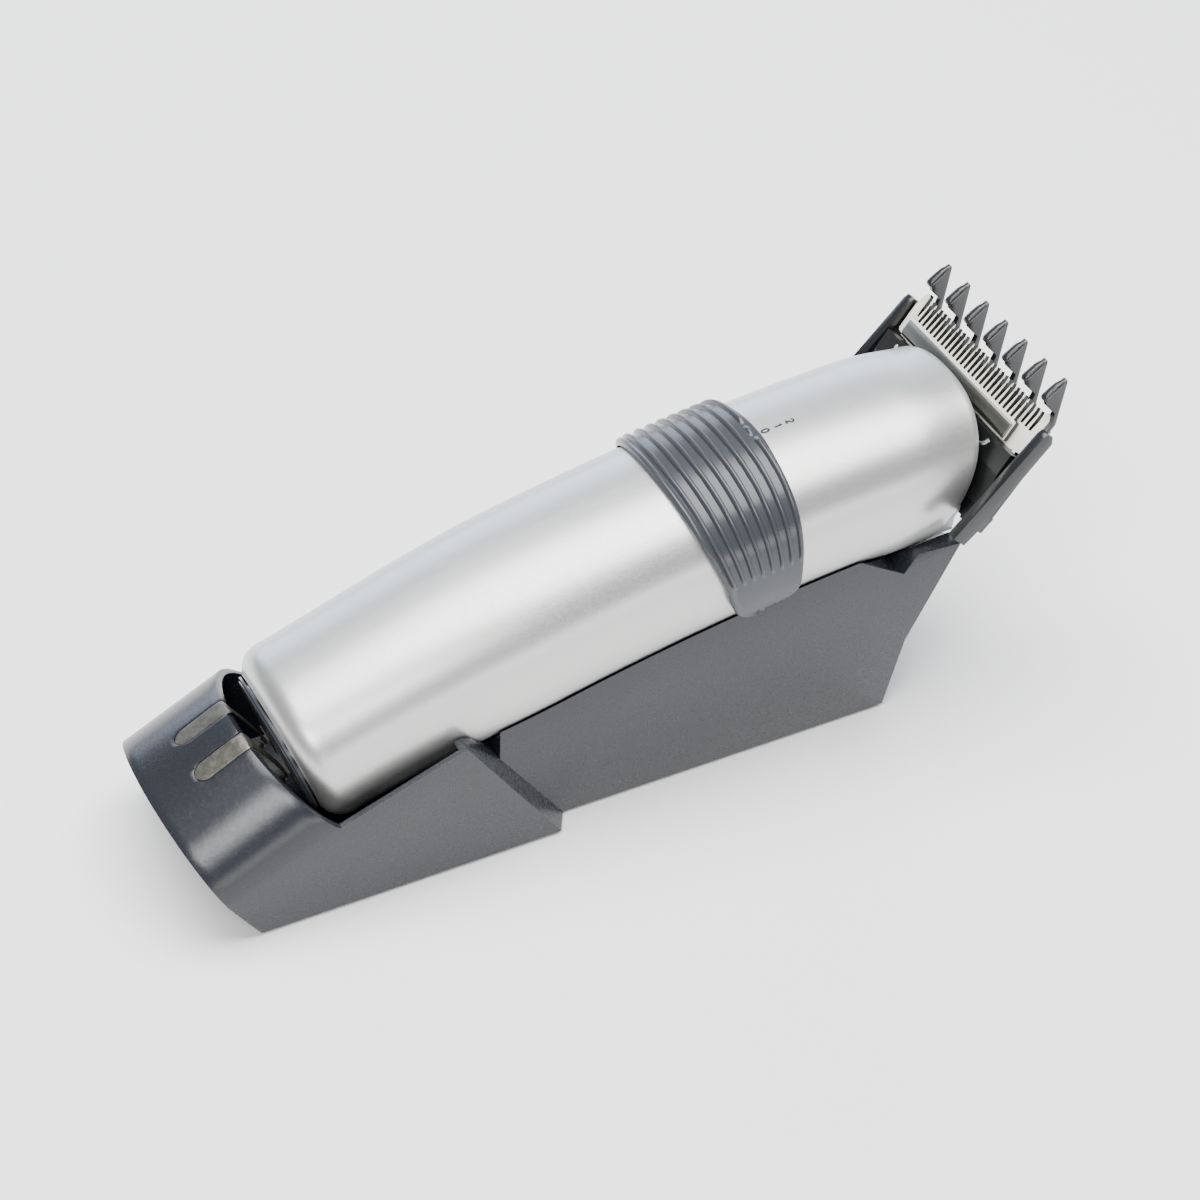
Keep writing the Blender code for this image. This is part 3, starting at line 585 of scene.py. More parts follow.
# Soft moulded rubber feet.
FOOT_RUBBER = Finish(
    name="foot_rubber", colour="#222324", patch_colour="#2B2C2D", roughness=0.78, grain=Grain.SPARKED,
    grain_mm=0.4, depth_mm=0.03, patch_mm=4.0,
)
# Green solder mask over glass-epoxy board.
BOARD_MASK = Finish(
    name="solder_mask", colour="#1F5A36", patch_colour="#174A2B", roughness=0.35, grain=Grain.ROLLED,
    grain_mm=0.8, depth_mm=0.01, patch_mm=5.0,
)
# Shrink sleeve of the cells.
CELL_SLEEVE = Finish(
    name="shrink_sleeve", colour="#2F7A4A", patch_colour="#276A40", roughness=0.3, grain_mm=2.0,
    depth_mm=0.03, patch_mm=10.0,
)
# Screen-printed black ink, slightly raised and matt.
PRINT_INK = Finish(
    name="screen_ink", colour="#0B0B0C", patch_colour="#101011", roughness=0.5, grain_mm=0.15,
    depth_mm=0.004, patch_mm=0.6,
)
# White backdrop paper.
FLOOR_PAPER = Finish(
    name="white_paper", colour="#F7F7F6", patch_colour="#F4F4F4", roughness=0.8, grain_mm=1.0,
    depth_mm=0.01, patch_mm=200.0,
)


class Dresser:
    """Makes each finish once and hands it out."""

    def __init__(self) -> None:
        """Starts with nothing made."""
        self.made: dict[str, bpy.types.Material] = {}

    def material(self, finish: Finish) -> bpy.types.Material:
        """The material of a finish, made the first time it is asked for."""
        if finish.name not in self.made:
            self.made[finish.name] = finish.make()
        return self.made[finish.name]

    def dress(self, piece: Piece, finish: Finish) -> None:
        """Gives the whole piece one finish.

        Args:
            piece: the object to dress.
            finish: the finish it gets.
        """
        piece.data.materials.clear()
        piece.data.materials.append(self.material(finish))

    def dress_node(self, piece: Piece, finish: Finish) -> None:
        """Puts a finish into every material slot of a frame node."""
        for slot in piece.material_slots:
            slot.material = self.material(finish)


class Body(Enum):
    """The frame's bodies that carry the pieces built here."""

    STAND = "stand"
    CLIPPER = "clipper"
    RING = "ring"
    CUTTER = "cutter"
    COMB = "comb"


class Slot(Enum):
    """Names of material slots; nothing in this script uses them."""

    STAND_PLASTIC = "stand_plastic"
    NICKEL = "nickel_contact"
    SILVER = "silver_paint"
    LIGHT_GREY = "light_grey_plastic"
    GREY = "grey_plastic"
    BLACK = "black_plastic"
    BLADE_STEEL = "blade_steel"
    SPRING_STEEL = "spring_steel"
    COMB_PLASTIC = "comb_plastic"


@dataclass
class Fitter:
    """Places finished pieces: dresses them, ties them to a body and hides the frame node they stand for."""

    dresser: Dresser

    def fit(
        self, piece: Piece, finish: Finish, body: Body, node: Optional[str] = None
    ) -> None:
        """Dresses a piece and makes it ride on a body.

        Args:
            piece: the finished object.
            finish: its finish.
            body: the body it moves with.
            node: the frame node it stands for, if any.
        """
        self.dresser.dress(piece, finish)
        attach(piece, body.value)
        if node is not None:
            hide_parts(node)
        LOG.info("piece %s on %s: %d faces", piece.name, body.value, len(piece.data.polygons))


# ------------------------------------------------------------------ body form
@dataclass
class BodyForm:
    """The clipper's arched body as a surface of station and section angle."""

    arch_x: float = 90.0
    arch_z: float = 42.7
    arch_slope: float = 0.1784
    arch_bend: float = -0.001208
    half: float = 20.0
    height_ratio: float = 0.79
    squareness: float = 2.3
    tail_x: float = 14.5
    tail_round: float = 4.5
    tail_lean: float = -0.3
    nose_x: float = 147.6
    nose_lean: float = 0.36
    chin_drop: float = 1.8

    def axis_height(self, x: Array) -> Array:
        """Height of the body axis: a parabola in x."""
        along = np.asarray(x, float) - self.arch_x
        return self.arch_z + self.arch_slope * along + self.arch_bend * along * along

    def axis_slope(self, x: Array) -> Array:
        """Slope of the body axis."""
        return self.arch_slope + 2.0 * self.arch_bend * (np.asarray(x, float) - self.arch_x)

    def half_width(self, x: Array) -> Array:
        """Half the body's width, slimmer at the tail and the nose."""
        return self.half - 1.3 * (1.0 - ease(x, 22.0, 62.0)) - 1.5 * ease(x, 134.0, 150.0)

    def own_lean(self, station: Array) -> Array:
        """How far the body's own sections are tipped, from the tail's lean to the nose's."""
        part = (station - self.tail_x) / (self.nose_x - self.tail_x)
        return self.tail_lean + (self.nose_lean - self.tail_lean) * ease(part, 0.0, 1.0)

    def surface(
        self, station: Array, angle: Array, offset: Array = 0.0, lean: Optional[float] = None
    ) -> Array:
        """Points of the body's skin.

        The section is a superellipse: across = half cos^(2/n), up = tall
        sin^(2/n), drawn in by a quarter circle at the tail and tipped so that
        x grows with height by lean.

        Args:
            station: x of the section on the axis.
            angle: section angle from +y over the top, in radians.
            offset: distance outside the skin.
            lean: tip of the section, or None for the body's own.

        Returns:
            Layout points, in the shape that station and angle share, with xyz last.
        """
        station, angle, offset = np.broadcast_arrays(
            np.asarray(station, float), np.asarray(angle, float), np.asarray(offset, float)
        )
        short = np.clip(self.tail_x + self.tail_round - station, 0.0, self.tail_round * 0.97)
        inset = self.tail_round - np.sqrt(self.tail_round ** 2 - short ** 2)
        chin = ease(-np.sin(angle), 0.35, 0.8) * ease(station, 128.0, 148.0)
        grown = offset + self.chin_drop * chin - inset
        half = self.half_width(station) + grown
        slope = self.axis_slope(station)
        tall = (self.half_width(station) * self.height_ratio + grown) / np.cos(np.arctan(slope))
        power = 2.0 / self.squareness
        tip = self.own_lean(station) if lean is None else lean
        up = tall * signed_power(np.sin(angle), power)
        return np.stack([
            station + tip * up,
            half * signed_power(np.cos(angle), power),
            self.axis_height(station) + slope * tip * up + up,
        ], -1)

    def top(self, x: Array, y: Array, offset: float = 0.0) -> Array:
        """Points on the body's upper skin above given x and y.

        The height solves the superellipse for y: up = tall (1 - |y/half|^n)^(1/n).
        The section is tipped, so its station is found in four rounds, each of
        which steps back from x by lean times the height found so far.

        Args:
            x: layout x.
            y: layout y.
            offset: distance outside the skin.

        Returns:
            Layout points with xyz last.
        """
        x, y = np.broadcast_arrays(np.asarray(x, float), np.asarray(y, float))
        station = x
        for _ in range(4):
            half = self.half_width(station)
            tall = half * self.height_ratio / np.cos(np.arctan(self.axis_slope(station)))
            up = tall * (1.0 - np.abs(y / half) ** self.squareness) ** (1.0 / self.squareness)
            tip = self.own_lean(station)
            station = x - tip * up
        height = self.axis_height(station) + self.axis_slope(station) * tip * up + up
        return np.stack([x, y, height + offset], -1)

    def stations(self, last: Optional[float] = None, count: int = 110) -> Array:
        """Section places: crowded round the tail's edge, then even."""
        bend = np.linspace(0.0, np.pi / 2.0, 10)[:-1]
        crowded = self.tail_x + self.tail_round * (1.0 - np.cos(bend))
        even = np.linspace(self.tail_x + self.tail_round, last or self.nose_x, count)
        return np.concatenate([crowded, even])

    def solid(self, name: str, offset: float, last: float) -> Piece:
        """The whole body as one closed solid, grown by offset."""
        turn = np.linspace(0.0, 2.0 * np.pi, 96, endpoint=False)
        return lofted(name, self.surface(self.stations(last, 60)[:, None], turn[None], offset))


@dataclass
class Shells:
    """The silver upper shell and the pale lower shell with its chin."""

    form: BodyForm
    wall: float = 1.8
    parting: float = math.radians(-42.0)
    seam: float = math.radians(1.0)
    chin_reach: float = 6.0
    slot_x: tuple[float, float] = (95.6, 104.8)
    slot_half: float = 2.0
    ink_half: float = 0.19
    ink_sunk: float = -0.03
    ink_proud: float = 0.04
    figures_y: float = -0.6

    def build_upper(self) -> Piece:
        """The upper shell: the body's skin over the top, from parting to parting."""
        angle = np.linspace(self.parting, math.pi - self.parting, 150)[None]
        station = self.form.stations()[:, None]
        outer = self.form.surface(station, angle, 0.0)
        inner = self.form.surface(station, angle, -self.wall)
        shell = walled("shell_upper", outer, inner)
        top = float(self.form.axis_height(self.slot_x[0])) + self.form.half * self.form.height_ratio
        rear, front = self.slot_x
        outline = [(rear, top - 5), (front, top - 5), (front, top + 5), (rear, top + 5)]
        slot = plate("switch_slot", outline, -self.slot_half, self.slot_half)
        combined(shell, [slot], Joining.CUT)
        return rounded(shell, 0.22, 2, 50.0)

    def chin(self, angle: Array, offset: float, reach: Array) -> Array:
        """Rows ahead of the nose edge, reaching furthest at the bottom centre.

        Args:
            angle: section angles, one row.
            offset: distance outside the skin.
            reach: how far each row may reach.

        Returns:
            Layout points as [row, angle, xyz].
        """
        start = self.form.surface(self.form.nose_x, angle, offset)
        depth = np.abs(np.sin(angle)) ** (2.0 / self.form.squareness)
        ahead = reach[:, None] * (0.15 + 0.85 * ease(depth, 0.33, 0.97))[None]
        slope = float(self.form.axis_slope(self.form.nose_x))
        return start[None] + ahead[..., None] * np.array([1.0, 0.0, slope])

    def build_lower(self) -> Piece:
        """The lower shell, carried on ahead of the nose as a crescent chin."""
        low = math.pi - self.parting + self.seam
        angle = np.linspace(low, 2.0 * math.pi + self.parting - self.seam, 90)
        reach = np.linspace(0.0, self.chin_reach, 14)[1:]
        sheets = []
        for offset in (0.0, -self.wall):
            body = self.form.surface(self.form.stations()[:, None], angle[None], offset)
            sheets.append(np.concatenate([body, self.chin(angle, offset, reach)]))
        return rounded(walled("shell_lower", sheets[0], sheets[1]), 0.25, 2, 50.0)

    def build_lip(self, name: str, near: bool) -> Piece:
        """The lower shell's side lip, ahead of the silver edge up to the widest line.

        Reach grows with depth below the axis: first to 1.65 mm, then to 4.85 mm,
        which is about the chin's own there.

        Args:
            name: the piece's name.
            near: True for the near (-y) side, False for the far side.

        Returns:
            The lip.
        """
        angle = np.linspace(math.radians(188.0), math.pi - self.parting + 0.5 * self.seam, 40)
        if not near:
            angle = 3.0 * math.pi - angle[::-1]
        depth = np.abs(np.sin(angle)) ** (2.0 / self.form.squareness)
        reach = 0.05 + 1.6 * ease(depth, 0.12, 0.45) + 3.2 * ease(depth, 0.45, 0.85)
        ahead = np.linspace(0.01, 1.0, 12)[:, None] * reach[None]
        nose = self.form.nose_x
        shift = ahead[..., None] * np.array([1.0, 0.0, float(self.form.axis_slope(nose))])
        outer, inner = (self.form.surface(nose, angle, offset)[None] + shift for offset in (-0.3, -1.6))
        return walled(name, outer, inner)

    def build_digit(self, name: str, place: float, stroke: Pairs) -> Piece:
        """A printed figure: one flat stroke laid on the top skin.

        The stroke is a line of (across, along) points carried as a ribbon
        2 ink_half wide, from ink_sunk under the skin to ink_proud over it.

        Args:
            name: the piece's name.
            place: layout x of the figure's middle.
            stroke: the line's points in millimetres, up towards the head.

        Returns:
            The figure.
        """
        line = np.asarray(stroke, float)
        run = np.gradient(line, axis=0)
        run /= np.linalg.norm(run, axis=1, keepdims=True)
        side = np.stack([run[:, 1], -run[:, 0]], -1) * self.ink_half
        edges = np.stack([line - side, line + side], 1)
        x, y = place + edges[..., 1], self.figures_y - edges[..., 0]
        low = self.form.top(x, y, self.ink_sunk)
        high = self.form.top(x, y, self.ink_proud)
        return lofted(name, np.stack([low[:, 0], low[:, 1], high[:, 1], high[:, 0]], 1))

    def build(self, fitter: Fitter) -> None:
        """Builds and fits the shells and the three printed switch figures."""
        fitter.fit(self.build_upper(), SILVER_LACQUER, Body.CLIPPER, "upper_shell")
        fitter.fit(self.build_lower(), PALE_ABS, Body.CLIPPER, "lower_shell")
        for name, near in (("lip_near", True), ("lip_far", False)):
            lip = self.build_lip(name, near)
            fitter.fit(lip, PALE_ABS, Body.CLIPPER, "lower_shell")
        turn = np.linspace(0.0, 2.0 * np.pi, 33)
        oval = np.stack([0.42 * np.cos(turn), 0.75 * np.sin(turn)], -1)
        hook = np.linspace(math.radians(170.0), math.radians(-35.0), 14)
        two = np.stack([0.42 * np.cos(hook), 0.36 + 0.4 * np.sin(hook)], -1)
        two = np.vstack([two, [[-0.42, -0.72], [-0.2, -0.75], [0.45, -0.75]]])
        one = [[-0.28, 0.42], [-0.1, 0.55], [0.08, 0.75], [0.08, 0.2], [0.08, -0.75]]
        for number, (place, line) in enumerate(((113.0, oval), (115.7, one), (118.2, two))):
            figure = self.build_digit(f"figure_{number}", place, line)
            fitter.fit(figure, PRINT_INK, Body.CLIPPER)


@dataclass
class TailTrim:
    """The grey tail cap: a shallow dome, a thin flange and a skirt inside the shell."""

    form: BodyForm
    plates_y: tuple[float, float] = (4.95, -4.95)
    hole_half: float = 2.4

    def build(self, fitter: Fitter) -> None:
        """Builds and fits the cap, with the two openings for the charging plates.

        Each step is (distance outside the body's skin, distance ahead of its end).
        """
        steps = np.array([
            (-13.0, -1.75), (-11.0, -1.75), (-7.0, -1.68), (-4.0, -1.6), (-2.4, -1.52), (-1.6, -1.42),
            (-1.0, -1.3), (-0.75, -1.2), (-0.7, -1.0), (-0.45, -0.95), (-0.15, -0.8), (-0.1, -0.6),
            (-0.2, -0.4), (-2.2, -0.35), (-2.2, 1.0), (-2.2, 2.6),
        ])
        turn = np.linspace(0.0, 2.0 * np.pi, 120, endpoint=False)
        slope = float(self.form.axis_slope(self.form.tail_x))
        along = np.array([1.0, 0.0, slope]) / math.hypot(1.0, slope)
        rings = self.form.surface(self.form.tail_x, turn[None], steps[:, :1]) + steps[:, 1:, None] * along
        cap = lofted("tail_trim", rings)
        base = np.array([self.form.tail_x + 0.9, float(self.form.axis_height(self.form.tail_x)) - 3.0])
        ahead, above = np.array([(-4.0, -2.2), (8.0, -2.2), (8.0, 2.2), (-4.0, 2.2)]).T
        outline = base + np.stack([ahead - slope * above, above + slope * ahead], -1)
        half = self.hole_half
        holes = [plate(f"plate_hole_{k}", outline, y - half, y + half) for k, y in enumerate(self.plates_y)]
        combined(cap, holes, Joining.CUT)
        fitter.fit(cap, RING_ABS, Body.CLIPPER, "tail_cap")


@dataclass
class Ring:
    """The ribbed saddle ring that slides along the body as power switch."""

    form: BodyForm
    front_x: float = 110.9
    rear_x: float = 89.3
    sweep: float = 5.8
    flap: float = math.radians(115.0)
    bulge: float = 0.5
    clearance: float = 0.35
    flap_spread: float = 0.35
    thickness: float = 0.8
    corner: float = 4.2
    ribs: int = 8
    first_rib: float = 1.0
    rib_pitch: float = 2.5
    rib_half: float = 0.5
    rib_rise: float = 0.65
    rib_zone: float = 20.6
    dot_at: float = 1.15
    dot_rise: float = 0.45
    lip_at: float = 0.55
    lip_rise: float = 0.45
    edge_roll: float = 0.5

    def build(self, fitter: Fitter) -> None:
        """Builds and fits the ring.

        Around is the angle from the top; share runs from the rear edge (0) to
        the front edge (1).  The skin rises over the body by clearance and
        thickness, and ribs stand on it as beads that fade out above the flaps.
        """
        around = np.linspace(-self.flap, self.flap, 181)[:, None]
        share = np.linspace(0.0, 1.0, 216)[None]
        away = np.abs(around)
        rear, front = self.edges(around)
        x = rear + (front - rear) * share
        inside = self.clearance + self.flap_spread * ease(away, math.radians(85.0), self.flap)
        height = self.relief(around, x, rear) - self.rolled(np.minimum(x - rear, front - x))
        angle = np.pi / 2.0 + around
        outer = self.form.surface(x, angle, inside + height, 0.0)
        inner = self.form.surface(x, angle, inside, 0.0)
        ring = rounded(walled("ring_sleeve", outer, inner, 40.0), 0.12, 2, 60.0)
        fitter.fit(ring, RING_ABS, Body.RING, "power_ring")

    def edges(self, around: Array) -> tuple[Array, Array]:
        """The ring's rear and front edge, drawn together round the flaps' ends.

        Args:
            around: angles from the top.

        Returns:
            Layout x of the rear edge and of the front edge.
        """
        away = np.abs(around)
        length = (self.flap - away) * self.form.half
        short = np.maximum(self.corner - length, 0.0)
        bite = self.corner - np.sqrt(self.corner ** 2 - short ** 2 * 0.97)
        front = self.front_x + self.bulge * np.exp(-(around / math.radians(16.0)) ** 2) - bite
        rear = self.rear_x + self.sweep * (away / (np.pi / 2.0)) ** 2 + bite
        return rear, front

    def relief(self, around: Array, x: Array, rear: Array) -> Array:
        """Height over the inner skin: wall, half-round ribs, index dot and rear lip.

        The foremost rib is broken at the top to make room for the index dot.

        Args:
            around: angles from the top.
            x: layout x.
            rear: layout x of the rear edge.

        Returns:
            The height at each point.
        """
        from_front = (self.front_x - x) / (self.front_x - rear) * self.rib_zone
        from_rib = from_front - self.first_rib
        nearest = np.clip(np.round(from_rib / self.rib_pitch), 0, self.ribs - 1)
        off_rib = (from_rib - nearest * self.rib_pitch) / self.rib_half
        bead = np.sqrt(np.clip(1.0 - off_rib ** 2, 0.0, 1.0))
        fade = 1.0 - ease(np.abs(around), math.radians(82.0), math.radians(88.0))
        broken = 1.0 - np.exp(-(around / math.radians(6.0)) ** 8) * (nearest == 0)
        off_dot = (around / math.radians(2.0)) ** 2 + ((from_front - self.dot_at) / 0.42) ** 2
        dot = self.dot_rise * np.exp(-off_dot ** 2)
        lip = self.lip_rise * np.exp(-((x - rear - self.lip_at) / 0.75) ** 2)
        return self.thickness + self.rib_rise * bead * fade * broken + dot + lip

    def rolled(self, edge: Array) -> Array:
        """How far a quarter round lowers the skin at a distance from its edge."""
        out = 1.0 - np.clip(edge / self.edge_roll, 0.0, 1.0)
        return self.edge_roll - self.edge_roll * np.sqrt(np.clip(1.0 - out ** 2, 0.0, 1.0))


@dataclass
class Stand:
    """The charging stand: hooded rear, tail pocket, step and cradle."""

    form: BodyForm
    wide: float = 23.0
    narrow: float = 18.5
    wall: float = 2.0
    pocket_wall: float = 1.2
    step_top: tuple[float, float] = (41.4, 28.8)
    step_bottom: tuple[float, float] = (60.7, 0.0)
    rim_corner: tuple[float, float] = (16.1, 19.6)
    hood_rear: tuple[float, float] = (-5.8, 8.9)
    rear_rise: float = 12.1
    rear_lean: float = 0.56
    front_rise: float = 11.0
    front_lean: float = 0.99
    rim_drop: float = 7.4
    slot_width: float = 4.3
    slots_y: tuple[float, float] = (4.95, -4.95)
    slot_end_x: float = -2.05
    hood_floor_x: float = 0.3
    floor_z: float = 3.4
    body_gap: float = 0.5
    socket_start: Triple = (-5.6, 0.0, 8.6)
    socket_axis: Triple = (0.84, 0.0, 0.54)
    socket_radius: float = 3.3
    leaf_broad: float = 2.0
    leaf_narrow: float = 0.85
    leaf_half: float = 0.17

    def arch(self, front: bool, shrink: float = 0.0, count: int = 65) -> Array:
        """Half-ellipse arch of the hood, leaning back as it rises.

        Args:
            front: True for the hood's front edge, False for its rear edge.
            shrink: how far inside the outer skin.
            count: number of points.

        Returns:
            Points from the near side to the far side.
        """
        base = self.rim_corner if front else self.hood_rear
        rise = (self.front_rise if front else self.rear_rise) - shrink
        lean = self.front_lean if front else self.rear_lean
        turn = np.linspace(np.pi, 0.0, count)
        up = rise * np.sin(turn)
        return np.stack([base[0] - lean * up, (self.wide - shrink) * np.cos(turn), base[1] + up], -1)

    def section(self, x_bottom: float, row: Array, half: float) -> Array:
        """An arch or row closed down to the underside."""
        return np.vstack([[x_bottom, -half, 0.0], row, [x_bottom, half, 0.0]])

    def flat_row(self, x: float, z: float, half: float, count: int = 65) -> Array:
        """A level row of points across the stand, spaced as the arch is."""
        turn = np.linspace(np.pi, 0.0, count)
        return np.stack([np.full(count, x), half * np.cos(turn), np.full(count, z)], -1)

    def outside(self) -> Piece:
        """The stand's outer solid: ruled hood, side walls and chamfered step."""
        rear = self.section(0.0, self.arch(False), self.wide)
        front = self.section(self.rim_corner[0], self.arch(True), self.wide)
        share = np.linspace(0.0, 1.0, 13)[:, None, None]
        hood = rear + (front - rear) * share
        rim_x, rim_z = self.rim_corner
        step_x, step_z = self.step_top
        foot_x = self.step_bottom[0]
        chamfer = 2.6
        behind_rim = self.flat_row(rim_x + 0.3, rim_z + 0.1, self.wide)
        on_step = self.flat_row(step_x, step_z, self.wide)
        past_step = self.flat_row(step_x + chamfer, step_z - 1.0, self.narrow)
        tail = np.stack([
            self.section(rim_x + 0.3, behind_rim, self.wide),
            self.section(foot_x, on_step, self.wide),
            self.section(foot_x + chamfer, past_step, self.narrow),
        ])
        return lofted("stand_body", np.concatenate([hood, tail]))

    def cradle(self) -> Piece:
        """The narrow cradle: a side outline under the body's widest line."""
        x = np.linspace(123.9, 50.0, 60)
        rim = np.stack([x, self.form.axis_height(x) - self.rim_drop], -1)
        front = np.array([
            (50.0, 0.0), (133.7, 0.0), (137.4, 15.2), (147.8, 36.1), (138.2, 36.7), (135.4, 32.8),
        ])
        return plate("cradle_walls", np.vstack([front, rim]), -self.narrow, self.narrow)

    def hood_space(self) -> Piece:
        """The space under the hood, carried on through its front opening."""
        inner = self.wide - self.pocket_wall
        rings = []
        for shift_x, shift_z, front in ((2.4, 0.0, False), (0.0, 0.0, True), (16.0, 6.0, True)):
            row = self.arch(front, self.pocket_wall) + np.array([shift_x, 0.0, shift_z])
            floor_x = row[0, 0] if front else self.hood_floor_x
            rings.append(np.vstack([[floor_x, -inner, self.floor_z], row, [floor_x, inner, self.floor_z]]))
        return lofted("hood_space", np.stack(rings))

    def window(self, name: str, y: float) -> Piece:
        """A slot down through the hood, round at its rear end."""
        half = self.slot_width / 2.0
        turn = np.linspace(np.pi / 2.0, 1.5 * np.pi, 17)
        end = np.stack([self.slot_end_x + half * np.cos(turn), half * np.sin(turn)], -1)
        plan = np.vstack([[14.0, -half], [14.0, half], end])
        rings = np.stack([np.insert(plan + [0.0, y], 2, level, axis=1) for level in (17.3, 37.0)])
        return lofted(name, rings)

    def build_housing(self) -> Piece:
        """The moulded housing, cut out as the real moulding is."""
        housing = combined(self.outside(), [self.cradle()], Joining.ADD)
        under = [
            (19.0, -1.0), (129.0, -1.0), (131.0, 24.0), (118.0, 26.0), (60.0, 15.0), (40.0, 8.6), (19.0, 1.9),
        ]
        inner = self.narrow - self.wall
        step_wall = 1.6
        step_x = self.step_top[0] - step_wall
        pocket = [
            (16.4, self.floor_z), (49.0, 13.0), (step_x, self.step_top[1]), (step_x, 50.0), (16.4, 50.0),
        ]
        pocket_half = self.wide - self.pocket_wall
        bore = [(-3.0, self.socket_radius), (10.0, self.socket_radius)]
        tools = [
            self.hood_space(),
            plate("tail_pocket", pocket, -pocket_half, pocket_half),
            plate("under_space", under, -inner, inner),
            self.form.solid("cradle_space", self.body_gap, self.form.nose_x + 9.0),
            turned("socket_hole", self.socket_start, self.socket_axis, bore),
        ]
        tools += [self.window(f"window_{k}", y) for k, y in enumerate(self.slots_y)]
        return rounded(combined(housing, tools, Joining.CUT), 0.35, 2, 42.0)

    def build_contact(self, name: str, y: float) -> Piece:
        """A leaf contact: broad in its slot, narrow where it drops to the tail.

        Its rear end is round, and it is tipped a little so that it lies flush
        with the curved hood.
        """
        corners = np.array([
            (-4.0, 25.0), (0.5, 27.45), (5.0, 29.85), (6.3, 29.7), (7.5, 28.1), (10.2, 24.2), (12.4, 20.5),
            (12.9, 18.6), (12.1, 17.0),
        ])
        line = smooth_path(corners, 90)
        x, z = line[:, 0], line[:, 1]
        path = np.stack([x, np.full(len(line), y), z], -1)
        half = self.leaf_broad - (self.leaf_broad - self.leaf_narrow) * ease(x, 5.8, 7.4)
        past_end = np.clip((self.slot_end_x - x) / self.leaf_broad, 0.0, 0.985)
        half *= np.sqrt(np.clip(1.0 - past_end ** 2, 0.0, 1.0))
        tilt = 0.1 * math.copysign(1.0, y)
        return swept(name, path, half, np.full(len(line), self.leaf_half), (0.3, tilt, 1.0), 24, 6.0)

    def build(self, fitter: Fitter) -> None:
        """Builds and fits the housing and the two contacts."""
        fitter.fit(self.build_housing(), STAND_ABS, Body.STAND, "stand_housing")
        for side, y in zip(("left", "right"), self.slots_y):
            piece = self.build_contact(f"contact_leaf_{side}", y)
            fitter.fit(piece, NICKEL_STRIP, Body.STAND, f"charging_contact_{side}")


# ------------------------------------------------------------------ cutting head
@dataclass(frozen=True)
class ToothForm:
    """Sizes of a blade's teeth, in blade directions.

    The gaps end at root and the teeth at tip; fat and thin are half a tooth's
    width at each.  The plate fills from level under to level over, and its
    upper side is lower by taper at the tips.
    """

    root: float
    tip: float
    fat: float
    thin: float
    under: float
    over: float
    taper: float


